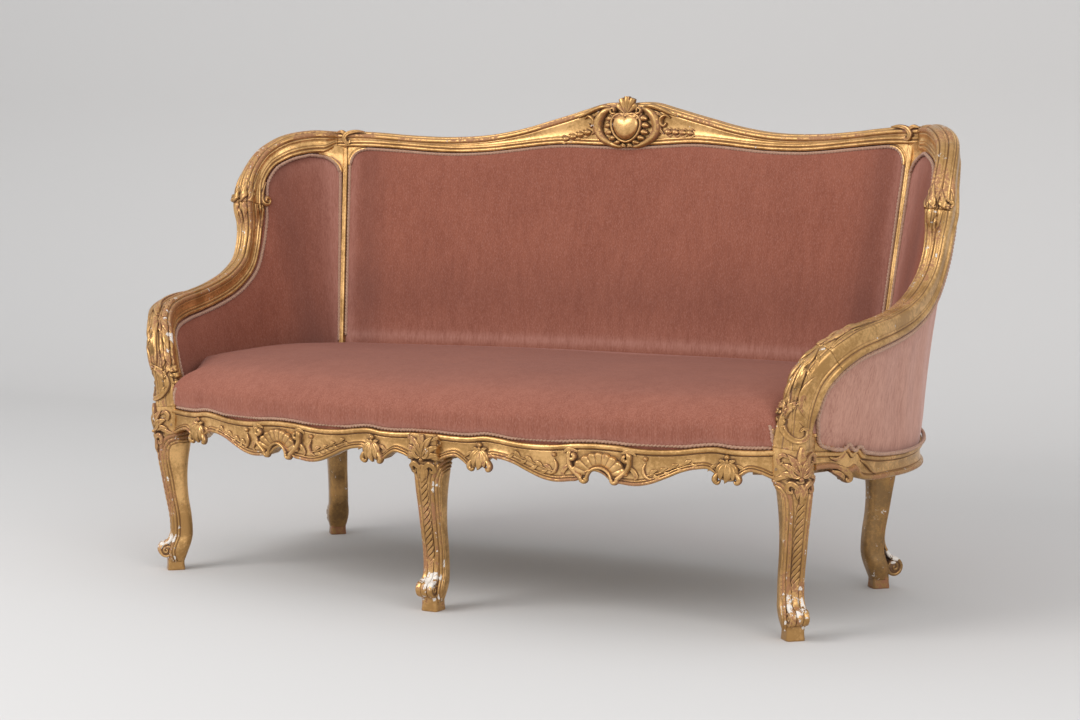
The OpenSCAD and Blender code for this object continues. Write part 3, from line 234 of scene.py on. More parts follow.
class Lines:
    """The lines that frame and upholstery share, in millimetres, with Y from the front posts to the back."""

    gap = 0.3
    cover_t, web_t = 2.5, 1.5
    inside_d, outside_d = -17 - cover_t, 15
    rail_wave, rail_set, side_dip = 6, 25, 32
    lip_t, post_y, head_w = 10, -4, 64
    crest_w, crest_rise, frame_t = 35, 72, 48
    fillet_w, fillet_d = 12, 4
    knee_h = 300

    def __init__(self, *settings):
        for values in settings:
            for name in type(values).__annotations__:
                setattr(self, name, getattr(values, name) * 1000)
        self.post_x, self.back_half = self.front_span / 2, self.back_span / 2
        self.finial_h = self.back_height + self.finial_rise
        self.ledge_h, self.head_top = self.rail_top - 10, self.rail_top + 15
        self.stile_low = np.array([self.back_half - 14.5, self.leg_depth - 7])
        self.stile_high = np.array([self.stile_span / 2, self.leg_depth - 7 + self.back_lean])
        self.crest_low = self.back_height - self.crest_w
        self.crest_end = self.stile_high[0] + 26
        self.wing_h = self.back_height - 20
        self.wing_x, self.wing_y = self.stile_high[0] + 14, self.stile_high[1] + 8
        front_edge = -self.front_bow - self.rail_set - 10
        self.middle_y = front_edge + self.head_w / 2
        back_edge = self.back_y(0, self.crest_low, self.frame_t + self.gap + self.cover_t)
        self.mid_y = (front_edge + back_edge) / 2

    def front_y(self, x):
        """Face of the front rail in plan: the bowed arc before the posts."""
        return -self.rail_set - arc(x, self.post_x, self.front_bow)

    def lean(self, z):
        """Share of the stile's height: 0 at the seat rail and 1 at the crest rail."""
        return (z - self.rail_top) / (self.crest_low - self.rail_top)

    def stile_x(self, z):
        return mix(self.stile_low[0], self.stile_high[0], self.lean(z))

    def stile_y(self, z):
        return mix(self.stile_low[1], self.stile_high[1], self.lean(z))

    def back_y(self, x, z, d=0.0):
        """Face line of the back between the stiles, or the line d behind it."""
        return self.stile_y(z) + arc(x, self.stile_x(z) + self.fillet_w, self.back_bow, d)

    def apron_place(self, x):
        """Share of the way from a front rail's middle to its ends, for the tables of its edges."""
        middle = self.post_x / 2
        return np.minimum(1, np.abs(np.abs(x) - middle) / (middle - self.head_w / 2))

    def front_top(self, x):
        return self.rail_top + self.rail_wave * graph(WAVE, self.apron_place(x))

    def front_low(self, x):
        return self.rail_top - self.apron_drop * graph(APRON, self.apron_place(x))

    def side_at(self, s):
        """Point in plan on the side rail's outer face, where s counts the rows of SIDE_LINE."""
        p = spline(SIDE_LINE, s)
        x = mix(self.post_x, self.back_half, p[..., 1]) + self.side_bow * p[..., 0]
        return np.stack([x, self.leg_depth * p[..., 1]], -1)

    def side_in(self, s, d):
        """Line of the side rail's outer face, or the line d inside it."""
        s = np.asarray(s, float)
        last = len(SIDE_LINE) - 1
        t = unit(self.side_at(np.minimum(last, s + 0.05)) - self.side_at(np.maximum(0, s - 0.05)))
        return self.side_at(s) - np.stack([t[..., 1], -t[..., 0]], -1) * np.asarray(d)[..., None]

    def side_top(self, y):
        return self.rail_top - self.side_dip * graph(SIDE_TOP, y / self.leg_depth)

    def side_low(self, y):
        return self.rail_top - self.apron_drop * graph(SIDE_LOW, y / self.leg_depth)

    def crest_back(self, x):
        """Direction in plan that points straight back from the bowed crest rail."""
        slope = self.back_y(x + 1, self.crest_low) - self.back_y(x - 1, self.crest_low)
        return unit(xyz(-slope / 2, 1, 0))

    def crest_top_at(self, x):
        return self.back_height + self.crest_rise * graph(CREST_TOP, np.abs(x) / self.crest_end)

    def crest_low_at(self, x):
        return self.crest_low + self.crest_rise * graph(CREST_LOW, np.abs(x) / self.crest_end)

    def rail_at(self, s):
        """Middle line of wing rail, arm rail and arm support."""
        p = spline(RAIL_LINE, s)
        return xyz(
            mix(self.post_x, self.wing_x, p[..., 1]) + self.arm_flare * p[..., 0],
            mix(self.post_y, self.wing_y, p[..., 1]),
            mix(self.head_top - 10, self.wing_h, p[..., 2]),
        )

    def rail_half(self, s):
        return self.arm_width / 2 * graph(RAIL_WIDTH, s)

    def rail_run(self, s):
        s = np.asarray(s, float)
        return unit(self.rail_at(np.minimum(RAIL_END, s + 0.05)) - self.rail_at(np.maximum(0, s - 0.05)))

    def rail_out(self, s):
        """Direction out of the sofa, square to the rail's run."""
        t = self.rail_run(s)
        o = xyz(1, graph(RAIL_TURN, s), 0)
        return unit(o - np.sum(o * t, -1, keepdims=True) * t)

    def rail_in(self, s):
        return np.cross(self.rail_out(s), self.rail_run(s))

    def beside(self, s, m, d):
        """Place beside the rail: m inwards from its inner face, d outwards from the panel's middle."""
        m, d = np.asarray(m, float), np.asarray(d, float)
        inwards = self.rail_in(s) * (self.rail_half(s) + m)[..., None]
        return self.rail_at(s) + inwards + self.rail_out(s) * d[..., None]

    def wing_root(self, z, d):
        """Edge of the arm panel along the stile, at height z and depth d."""
        k = (d - self.inside_d) / np.sqrt(2) + self.gap
        x = self.stile_x(z) + self.fillet_w / 2 + k + self.gap
        return xyz(x, self.stile_y(z) + self.fillet_d + k - self.gap, z)

    def panel_low(self, y, low):
        """Height of the panel's foot: the side rail's top outside, the seat's platform inside."""
        hidden = self.ledge_h + 4 * self.web_t + 0 * np.asarray(y, float)
        return (self.side_top(y) if low else hidden) + self.gap

    def panel_top(self, u, d):
        """Edge of the panel along the wing rail and the arm rail, from the stile forwards."""
        a = self.beside(0.25, 3, d)
        return self.beside(mix(0.25, ARM_END, u), 3, d) + (self.wing_root(a[2], d) - a) * ((1 - u) ** 6)[..., None]

    def panel_front(self, v, d, low):
        """Edge of the panel down the arm support, kept behind the leg's head."""
        p = self.beside(mix(ARM_END, RAIL_END, v), 3, d)
        floor = self.panel_low(p[..., 1], low)
        z = np.where(v > 0.999, floor, np.maximum(p[..., 2], floor))
        behind = self.post_y + self.head_w / 2 + self.gap
        return xyz(p[..., 0], np.where(z < self.head_top + 15, np.maximum(p[..., 1], behind), p[..., 1]), z)

    def panel_back(self, v, d, low):
        """Edge of the panel down the stile."""
        top = self.panel_top(np.array(0.0), d)[2]
        return self.wing_root(mix(top, self.panel_low(self.leg_depth, low), v), d)

    def panel_foot(self, u, d, low):
        """Edge of the panel along the side rail, drawn to its two corners near its ends."""
        a, b = self.panel_back(np.array(1.0), d, low), self.panel_front(np.array(1.0), d, low)
        side = 17.5 - d
        first, last = self.side_in(5.95, side), self.side_in(0.1, side)
        p = self.side_in(mix(5.95, 0.1, u**1.9), side)
        x, y = (
            p[..., i] + (a[i] - first[i]) * (1 - u) ** 4 + (b[i] - last[i]) * u**4
            for i in (0, 1)
        )
        return xyz(x, y, self.panel_low(y, low))

    def panel_at(self, u, v, d, low=False):
        """Coons patch between the rail, the side rail, the stile and the arm support, d outwards."""
        u, v = np.broadcast_arrays(np.asarray(u, float), np.asarray(v, float))
        zero, one, w, t = np.array(0.0), np.array(1.0), u[..., None], v[..., None]
        high_edge = mix(self.panel_top(zero, d), self.panel_top(one, d), w)
        low_edge = mix(self.panel_foot(zero, d, low), self.panel_foot(one, d, low), w)
        return (
            mix(self.panel_top(u, d), self.panel_foot(u, d, low), t)
            + mix(self.panel_back(v, d, low), self.panel_front(v, d, low), w) - mix(high_edge, low_edge, t)
        )

    def panel_normal(self, u, v, low=False):
        """Direction out of the panel, from its slopes both ways."""
        e = 0.02
        du = self.panel_at(np.minimum(1, u + e), v, 0, low) - self.panel_at(np.maximum(0, u - e), v, 0, low)
        dv = self.panel_at(u, np.minimum(1, v + e), 0, low) - self.panel_at(u, np.maximum(0, v - e), 0, low)
        return unit(np.cross(du, dv))

    def layer_at(self, u, v, edge, full, low=False):
        """Point of the arm panel at a depth, with the extra depth where it is full."""
        bulge = full * swell(u, 3) * swell(v, 3)
        return self.panel_at(u, v, edge, low) + self.panel_normal(u, v, low) * bulge[..., None]


class Build:
    """Collects grids of points, in millimetres, into one closed mesh with its masks."""

    def __init__(self, lines):
        self.lines, self.count = lines, 0
        self.points, self.quads, self.fans, self.masks = [], [], [], []

    def grid(self, p, mirror=False, grime_and_shade_mask=0.0, rub=0.0, bare=0.0, caps=True):
        """Adds a tube of points, closed across its second side, with a fan on each end."""
        n, m = p.shape[:2]
        turn = -1 if mirror else 1
        p = p * [turn, 1, 1]
        k = np.arange(n * m).reshape(n, m) + self.count
        k = np.concatenate([k, k[:, :1]], 1)
        self.quads.append(np.stack([k[:-1, :-1], k[:-1, 1:], k[1:, 1:], k[1:, :-1]][::turn], -1).reshape(-1, 4))
        masks = np.stack([np.broadcast_to(a, (n, m)).reshape(-1) for a in (grime_and_shade_mask, rub, bare)], -1)
        points = [p.reshape(-1, 3)]
        if caps:
            points.append(np.stack([p[0].mean(0), p[-1].mean(0)]))
            masks = np.concatenate([masks, masks[[0, -1]]])
            for ring, tip, way in ((k[0, :-1], n * m, -1), (k[-1, :-1], n * m + 1, 1)):
                tips = np.full(m, tip + self.count)
                self.fans.append(np.stack([ring, np.roll(ring, -1), tips][:: way * turn], -1))
        self.points += points
        self.masks.append(masks)
        self.count += sum(len(q) for q in points)

    def slab(self, front, back, mirror=False, grime_and_shade_mask=0.0, rub=0.0):
        """Adds a sheet with a thickness: two grids of the same shape and the rim between them."""
        both = lambda mask: np.tile(mask + 0 * front[..., 0], (1, 2))
        n, m = front.shape[:2]
        k = np.arange(n * 2 * m).reshape(n, 2 * m) + self.count
        self.grid(np.concatenate([front, back[:, ::-1]], 1), mirror, both(grime_and_shade_mask), both(rub), caps=False)
        for row, way in ((k[0], -1), (k[-1], 1)):
            a, b = row[:m], row[m:][::-1]
            self.quads.append(np.stack([a[:-1], a[1:], b[1:], b[:-1]][:: -way if mirror else way], -1))

    def made(self, name, material, replaces=(), slot="gilt_wood", merge=0.0):
        """Writes the mesh in metres about the model's own middle, and hands the object to the frame."""
        mesh = bpy.data.meshes.new(name)
        points = np.concatenate(self.points) - [0, self.lines.mid_y, 0]
        quads = np.concatenate(self.quads)
        fans = np.concatenate(self.fans) if self.fans else np.zeros((0, 3), int)
        corners = np.concatenate([quads.reshape(-1), fans.reshape(-1)])
        starts = np.concatenate([np.arange(len(quads)) * 4, len(quads) * 4 + np.arange(len(fans)) * 3])
        mesh.vertices.add(len(points))
        mesh.vertices.foreach_set("co", (points / 1000).astype(np.float32).reshape(-1))
        mesh.loops.add(len(corners))
        mesh.loops.foreach_set("vertex_index", corners.astype(np.int32))
        mesh.polygons.add(len(starts))
        mesh.polygons.foreach_set("loop_start", starts.astype(np.int32))
        mesh.update(calc_edges=True)
        masks = np.concatenate(self.masks)
        # Masks: grime with painted shade, wear with painted sheen, and chips
        for i, mask in enumerate(("grime_and_shade_mask", "rub", "bare")):
            item = mesh.attributes.new(mask, "FLOAT", "POINT")
            item.data.foreach_set("value", np.clip(masks[:, i], 0, 1).astype(np.float32))
        edit = bmesh.new()
        edit.from_mesh(mesh)
        if merge:
            bmesh.ops.remove_doubles(edit, verts=edit.verts, dist=merge / 1000)
        bmesh.ops.recalc_face_normals(edit, faces=edit.faces)
        edit.to_mesh(mesh)
        edit.free()
        mesh.polygons.foreach_set("use_smooth", np.ones(len(mesh.polygons), bool))
        mesh.materials.append(material)
        item = bpy.data.objects.new(name, mesh)
        bpy.context.scene.collection.objects.link(item)
        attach(item, "root")
        if replaces:
            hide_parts(*replaces)
        return item


class Skin:
    """A closed grid of points that carving is laid on: a place is a row, a column and a height off it."""

    def __init__(self, points):
        self.p = points
        wide = np.concatenate([points[:, -1:], points, points[:, :1]], 1)
        self.n = unit(np.cross(np.gradient(points, axis=0), np.gradient(wide, axis=1)[:, 1:-1]))

    def at(self, i, j, d):
        """Point at row i and column j, both between grid lines too, and d off the surface."""
        n, m = self.p.shape[:2]
        i, j = np.clip(i, 0, n - 1.001), np.mod(j, m)
        i0, j0 = np.floor(i).astype(int), np.floor(j).astype(int)
        j1 = (j0 + 1) % m
        a, b = (i - i0)[..., None], (j - j0)[..., None]
        blend = lambda g: mix(mix(g[i0, j0], g[i0, j1], b), mix(g[i0 + 1, j0], g[i0 + 1, j1], b), a)
        return blend(self.p) + unit(blend(self.n)) * np.asarray(d)[..., None]


# Carving: every motif is a set of ridges laid on a surface
PROFILES = {
    "round": lambda q: np.sqrt(1 - q**2),
    "leaf": lambda q: np.sqrt(1 - q**2) * (1 - 0.5 * groove(q, 0, 0.2)) * (0.86 + 0.14 * np.cos(9.4 * q)),
    "hollow": lambda q: (1 - q**2) ** 0.3 * (0.45 + 0.55 * np.abs(q) ** 1.6),
    "reed": lambda q: np.sqrt(1 - q**2) * (0.72 + 0.28 * np.abs(np.cos(4.2 * q))),
}


class Carver:
    """Lays motifs on a surface, whose place function turns two flat measures and a height into points."""

    def __init__(self, build, place, mirror=False, lift=0.0, sunk=1.5):
        self.build, self.place, self.mirror, self.lift, self.sunk = build, place, mirror, lift, sunk

    def ridge(self, line, width, height, kind="leaf", lift=None, sunk=None):
        """A ridge along a line on the flat: half width and height vary along it, and its section is a profile
        of the distance from the line over the half width; its underside sinks into the ground."""
        lift, sunk = self.lift if lift is None else lift, self.sunk if sunk is None else sunk
        line = np.asarray(line, float)
        t = np.linspace(0, 1, int(np.clip(run_of(line)[-1] / 1.6, 12, 160)))
        c = spline(line, t * (len(line) - 1))
        run = unit(np.gradient(c, axis=0))
        side = np.stack([-run[:, 1], run[:, 0]], -1)
        w, h = np.maximum(along(width, t), 0.15), np.maximum(along(height, t), 0.05)
        a = np.linspace(0, 2 * np.pi, 14, endpoint=False) + 0.1
        q, over = np.cos(a), np.sin(a) > 0
        f = PROFILES[kind](q)
        d = np.where(over, np.outer(h, f), -sunk * np.sqrt(1 - q**2)) + lift
        flat = c[:, None] + side[:, None] * (w[:, None] * q)[..., None]
        # Grime and painted shade where the ridge meets the ground and on its low parts; more bole on its slopes than
        # on its crest
        grime_and_shade_mask = np.where(over, np.abs(q) ** 4 + 0.8 * (1 - f / f.max()) ** 2, 1)
        rub = np.where(over, 0.85 * (1 - 0.75 * (f / f.max()) ** 8), 0.3)
        self.build.grid(self.place(flat[..., 0], flat[..., 1], d), self.mirror, grime_and_shade_mask, rub)

    def rows(self, table, x=0.0, z=0.0, sides=(-1, 1)):
        """Ridges from a table of lines, half widths, heights and so on, about a point and on its sides."""
        for side in sides:
            for line, *rest in table:
                self.ridge(np.array(line) * [side, 1] + [x, z], *rest)

    def palm(self, x, z, leaves):
        """Leaves that fan from one root, in pairs unless upright: degrees, length, half width and height."""
        for angle, length, half, height in leaves:
            for side in (1,) if angle in (0, 180) else (-1, 1):
                a = np.radians(side * angle)
                away = np.array([np.sin(a), np.cos(a)]) * length
                bend = np.array([away[1], -away[0]]) * np.sign(side * angle)
                line = [[x, z] + away * t + bend * b for t, b in ((0, 0), (0.35, -0.05), (0.7, -0.02), (1, 0.1))]
                rise = [height * 0.5, height, height * 1.2, height * 0.7]
                self.ridge(line, [half * 0.3, half, half * 0.9, 0.3], rise, "leaf", 0.0)

    def bead(self, x, z, r, height):
        """A carved pearl: half an ellipsoid over the ground."""
        a, b = np.linspace(0.02, np.pi - 0.02, 12)[:, None], np.linspace(0, 2 * np.pi, 16, endpoint=False)
        p = self.place(x + r * np.sin(a) * np.cos(b), z + r * np.sin(a) * np.sin(b), height * np.cos(a) + 0 * b)
        grime_and_shade_mask = 1 - np.sin(a) ** 0.5 * (np.cos(a) > 0.15)
        self.build.grid(p, self.mirror, grime_and_shade_mask, np.clip(np.cos(a), 0, 1))


def coil(x, z, r0, r1, start, turns, n=14):
    """Points of a spiral about a centre, from radius r0 to r1, from an angle in degrees over some turns."""
    t = np.linspace(0, 1, n)
    a = np.radians(start + 360 * turns * t)
    r = mix(r0, r1, t**0.8)
    return np.stack([x + r * np.cos(a), z + r * np.sin(a)], -1)


# Motifs: each row is a line, half widths and heights, then its profile, lift and depth where they differ
LEG_LEAVES = [
    ([[3, 318], [9, 317], [15, 323], [15, 333], [8, 336], [4, 330]],
     [2, 3.6, 4, 4, 3, 1.2], [6, 9, 10, 10, 8, 5], "hollow", 1),
    ([[2, 284], [8, 297], [17, 304], [25, 299], [25, 289], [18, 287], [17, 293]],
     [2, 5, 6, 5, 4, 3, 1.2], [3, 8, 9, 8, 7, 5, 3]),
    ([[22, 316], [36, 315], [48, 311], [58, 311]], [1.5, 5, 4.5, 0.8], [3, 7, 5, 2]),
    ([[22, 350], [34, 357], [44, 351], [42, 341], [35, 343]], [1.5, 4.5, 5, 4, 1.5], [3, 7, 8, 7, 3]),
]
HUSK_CURLS = [
    ([[10, 322], [19, 314], [23, 305], [18, 299], [13, 303]], [2.5, 5.5, 6, 5, 2], [5, 10, 11, 9, 5], "round", -1),
    ([[16, 333], [26, 329], [37, 320]], [1.5, 4, 0.8], [3, 6, 2]),
]
HOOK = [*coil(54, 338, 1.5, 9, 90, 0.9), [61, 327], [56, 314], [45, 304], [37, 297], *coil(30, 294, 7, 2.2, 20, -0.7)]
STEM = [[93, 305], [118, 312], [150, 324], [186, 335]]
SHELL_SCROLLS = [
    (HOOK, [1.8] + [5.4] * 30 + [3], 11, "round", -1),
    ([[74, 342], [66, 349], [56, 350], [44, 346]], [1.5, 4.5, 5, 2], [3, 8, 9, 4]),
    ([[58, 322], [68, 314], [75, 303], [70, 296]], [2.2, 5, 4.6, 1.4], [5, 8, 7, 3]),
    ([[93, 330], [88, 318], [92, 305], [104, 298]], [1, 3.4, 4, 1], [2, 6, 6, 2], "round", -1),
    (STEM, [1.8, 1.6, 1.4, 0.9], [4, 3.6, 3.2, 2.6], "round"),
]
NOTCH_LEAVES = [
    ([[60, 345], [76, 340], [92, 346], [104, 360]], [1.5, 4, 4.5, 2], [2, 6, 7, 4]),
    ([[186, 338], [168, 336], [152, 344], [138, 359]], [1.5, 4, 4.5, 2], [2, 6, 7, 4]),
    ([[110, 352], [121, 343], [132, 352]], [2, 4.5, 2], [4, 7, 4], "hollow"),
    ([[150, 330], [170, 322], [192, 306], [210, 298]], [1.5, 4.5, 4, 1], [3, 6, 5, 2]),
    ([[72, 328], [86, 322], [100, 315], [111, 306], [112, 297], [105, 296], [103, 302]],
     [2.5, 6, 7.5, 7, 5.5, 4, 1.8], [5, 9, 11, 11, 10, 8, 5], "leaf", -1, 14),
    ([[66, 318], [80, 313], [92, 306], [97, 298]], [2, 5.5, 5.5, 1.5], [4, 8, 8, 4], "leaf", -1, 14),
]
# On the arms a point is a place on RAIL_LINE, millimetres across the moulding, and millimetres further on
ARM_LEAVES = {
    "arm_support": [
        ([(16.75, 84), (16.98, 72), (17.35, 60), (17.75, 57), (18.12, 63), (18.34, 75), (18.4, 88), (18.26, 98),
          (18, 100), (17.88, 93), (18.02, 87)],
         [2, 5, 6.5, 6.5, 6.5, 6, 5.5, 5, 4.5, 3.6, 1.8], [4, 9, 11, 12, 12, 12, 11, 11, 10, 8, 6], "hollow"),
        ([(17.1, 76), (16.6, 72), (16, 70), (15.4, 66), (15.05, 60)], [3, 5.5, 6, 5, 2], [7, 9, 9, 8, 4]),
        ([(17, 84), (16.6, 82), (16.2, 86), (15.8, 94)], [2.5, 5, 5, 1.2], [6, 8, 7, 2]),
        ([(17.2, 66), (16.8, 60), (16.3, 58), (15.8, 60)], [2.5, 5, 4, 1], [6, 8, 6, 2]),
        ([(17.3, 62), (17.15, 54), (16.9, 48)], [2.5, 4.5, 1], [6, 7, 2]),
        *(([(s, a), (s + 0.12, (a + b) / 2), (s + 0.4, b)], [1.2, 3.6, 0.8], [3, 5, 2])
          for s, a, b in ((15.3, 70, 84), (15.8, 72, 88), (16.4, 76, 93), (17, 80, 96), (17.5, 84, 98))),
        *(([(s, a, x0), (s, b, x1), (s, c, 20)], half, [2, tall, 2])
          for s in (15.4, 16, 16.6) for a, b, c, x0, x1, half, tall in (
              (54, 50, 47, -14, 4, [1.2, 4.8, 0.8], 6), (47, 42, 41, -4, 10, [1, 3.2, 0.6], 5),
              (57, 58, 55, -4, 10, [1, 3.2, 0.6], 5))),
        *(([(s, a, dx), (s, mix(a, b, 0.35), dx + 3), (s, mix(a, b, 0.7), dx + 3), (s, b, dx - 3)],
           [2, 5.5, 5.5, 1.5], [4, tall, tall, 4])
          for s, dx, a, b, tall in (
              (17.1, 0, 52, 34, 11), (17.35, 0, 50, 28, 13), (17.6, 4, 48, 24, 11), (17.3, -12, 46, 24, 9))),
        ([(18, a, dx) for a, dx in (
            (44, 26), (46, 17), (44, 6), (37, -2), (28, 0), (23, 9), (28, 17), (36, 15), (35, 8))],
         [1.5, 4, 5.5, 6, 5.5, 5, 4.5, 3.5, 2], [3, 7, 9, 10, 10, 10, 9, 8, 6], "round"),
    ],
    "arm_rail": [
        ([(14.9, 62), (14.5, 66), (13.9, 69), (13.1, 70), (12.4, 68)], [4, 6, 5, 4, 1], [5, 9, 8, 6, 2]),
        ([(14.9, 78), (14.4, 77), (13.8, 76), (13.2, 79)], [3, 4.5, 3.5, 0.8], [4, 7, 5, 2]),
        *(([(s, 57, -14), (s, 52, 4), (s, 49, 18)], [1, 4, 0.8], [2, 5, 2]) for s in (13.6, 14.2, 14.8)),
        ([(6.03, 14), (6.3, 11), (6.7, 9), (7.3, 7)], [3, 5.5, 4, 1], [5, 8, 6, 2]),
        ([(6.03, 24), (6.4, 21), (6.9, 20), (7.4, 22)], [3, 5, 4, 1], [5, 7, 5, 2]),
        ([(6.03, 66), (6.4, 62), (6.9, 60), (7.5, 61)], [4, 6, 4, 1], [7, 9, 6, 2]),
        ([(6.03, 50), (6.3, 48), (6.7, 50)], [3, 4.5, 1], [5, 7, 2]),
    ],
    "wing_rail": [
        ([(4.5, 26), (4.9, 24), (5.3, 27), (5.75, 34), (5.97, 40)], [1, 4.5, 5.5, 5, 3], [2, 6, 8, 8, 6]),
        ([(5.0, 44), (5.4, 46), (5.75, 50), (5.97, 56)], [1.5, 5, 6, 3.5], [2, 7, 10, 8]),
        ([(5.3, 60), (5.6, 63), (5.85, 68), (5.9, 76), (5.75, 79), (5.7, 73)],
         [1.5, 5, 6, 5.5, 4.5, 2], [3, 8, 12, 12, 11, 7]),
        ([(4.9, 78), (5.3, 80), (5.7, 86)], [1.5, 4.5, 1.5], [2, 5, 3]),
    ],
}
CREST_LEAVES = [
    ([[-40, 1], [-20, 2], [0, -3], [9, -14], [5, -25], [-4, -25], [-4, -19]],
     [1.5, 4, 5.5, 6, 5, 3.5, 1.5], [3, 7, 9, 10, 9, 7, 4]),
    ([[30, -1], [16, 1], [6, -6], [10, -16]], [1.5, 4.5, 4.5, 1.5], [3, 7, 8, 4]),
]
HEART = np.array([
    [0, -31], [14, -27], [28, -15], [36, 2], [36, 16], [29, 27], [17, 31], [6, 30], [0, 27],
    [-6, 30], [-17, 31], [-29, 27], [-36, 16], [-36, 2], [-28, -15], [-14, -27],
])
BROAD_SCROLL = [[34, 44], [52, 41], [66, 31], [76, 13], [76, -6], [65, -23], [46, -35], [24, -42], [7, -43]]
BOSS_SCROLLS = [
    *(([[x - 9, z + 1], [x - 2, z], [x + 8, z - 2]], [r * 0.5, r * 0.9, r * 0.4], [8, 12, 6], "round", 4, 6)
      for x, z, r in ((46, 22, 9), (50, 6, 9), (47, -10, 8.5), (38, -23, 8), (25, -33, 6.5))),
    (coil(33, 41, 1.5, 8.5, 230, -1.0), [2] + [4] * 12, 14, "round", 4, 6),
    ([[44, 49], [62, 50], [84, 44], [108, 34], [130, 25]], [3, 6, 6, 4.5, 1.5], [8, 13, 11, 8, 4], "reed"),
    ([[60, 40], [78, 34], [96, 24]], [2, 4.5, 1.5], [6, 9, 4]),
    ([[112, 22], [101, 28], [90, 22], [88, 10], [96, 4], [101, 11]],
     [1.8, 4, 5, 5, 4, 1.8], [6, 10, 12, 11, 9, 5], "round"),
    ([[88, 8], [86, -6], [96, -15]], [3, 5, 1.5], [8, 10, 4]),
    ([[2, -45], [8, -40], [16, -43]], [1.5, 5, 1.5], [8, 12, 6], "leaf", 4, 6),
]
FINIAL_LEAVES = [
    ([[0, -44], [10, -50], [22, -52], [33, -47], [36, -38], [29, -37]],
     [4, 7, 8, 7, 5, 2], [12, 15, 15, 13, 10, 5], "leaf", 3, 6),
    ([[2, -40], [7, -54], [10, -66]], [4, 6, 2], [15, 16, 9], "leaf", 3, 6),
]


# Materials
class Tree:
    """Short words for making nodes and joining them."""

    def __init__(self, tree):
        self.tree = tree

    def put(self, socket, value):
        """Joins a socket to another, or sets its value."""
        if isinstance(value, bpy.types.NodeSocket):
            self.tree.links.new(value, socket)
        else:
            socket.default_value = value

    def add(self, kind, _out=0, _set=None, **inputs):
        """A node with its settings and its inputs, by name or by number as n0; gives back one output."""
        node = self.tree.nodes.new(kind)
        for key, value in (_set or {}).items():
            setattr(node, key, value)
        for key, value in inputs.items():
            name = key.replace("_", " ")
            self.put(node.inputs[int(key[1:]) if key[0] == "n" and key[1:].isdigit() else name], value)
        return node.outputs[_out]

    def math(self, operation, a, b=0.0, c=0.0):
        return self.add("ShaderNodeMath", 0, {"operation": operation}, n0=a, n1=b, n2=c)

    def plus(self, a, b):
        return self.math("ADD", a, b)

    def times(self, a, b):
        return self.math("MULTIPLY", a, b)

    def band(self, value, low, high, out_low=0.0, out_high=1.0):
        """Smooth step from one value to another between low and high."""
        return self.add(
            "ShaderNodeMapRange", 0, {"interpolation_type": "SMOOTHSTEP"},
            Value=value, From_Min=low, From_Max=high, To_Min=out_low, To_Max=out_high,
        )

    def blend(self, factor, a, b):
        """A colour between two."""
        return self.add("ShaderNodeMix", 2, {"data_type": "RGBA"}, n0=factor, n6=a, n7=b)

    def noise(self, vector, scale, detail=3.0, rough=0.55):
        return self.add("ShaderNodeTexNoise", Vector=vector, Scale=scale, Detail=detail, Roughness=rough)

    def place(self, scale=(1, 1, 1)):
        """Places in the object's own metres, stretched by a scale."""
        return self.add("ShaderNodeMapping", Vector=self.add("ShaderNodeTexCoord", "Object"), Scale=scale)

    def mask(self, name):
        """One of the piece's own masks."""
        return self.add("ShaderNodeAttribute", 2, {"attribute_name": name})


def group(name, inputs, outputs=("Color", "Roughness", "Height")):
    """A new shader node group with its sockets, and the words to fill it."""
    tree = bpy.data.node_groups.new(name, "ShaderNodeTree")
    kinds = {True: "NodeSocketColor", False: "NodeSocketFloat"}
    for label, value in inputs.items():
        socket = tree.interface.new_socket(name=label, in_out="INPUT", socket_type=kinds[isinstance(value, tuple)])
        socket.default_value = value
    for label in outputs:
        tree.interface.new_socket(name=label, in_out="OUTPUT", socket_type=kinds[label == "Color"])
    return Tree(tree), tree.nodes.new("NodeGroupInput").outputs, tree.nodes.new("NodeGroupOutput").inputs


def rgba(colour):
    """A colour as the four numbers that a socket takes."""
    return (*colour[:3], 1.0)


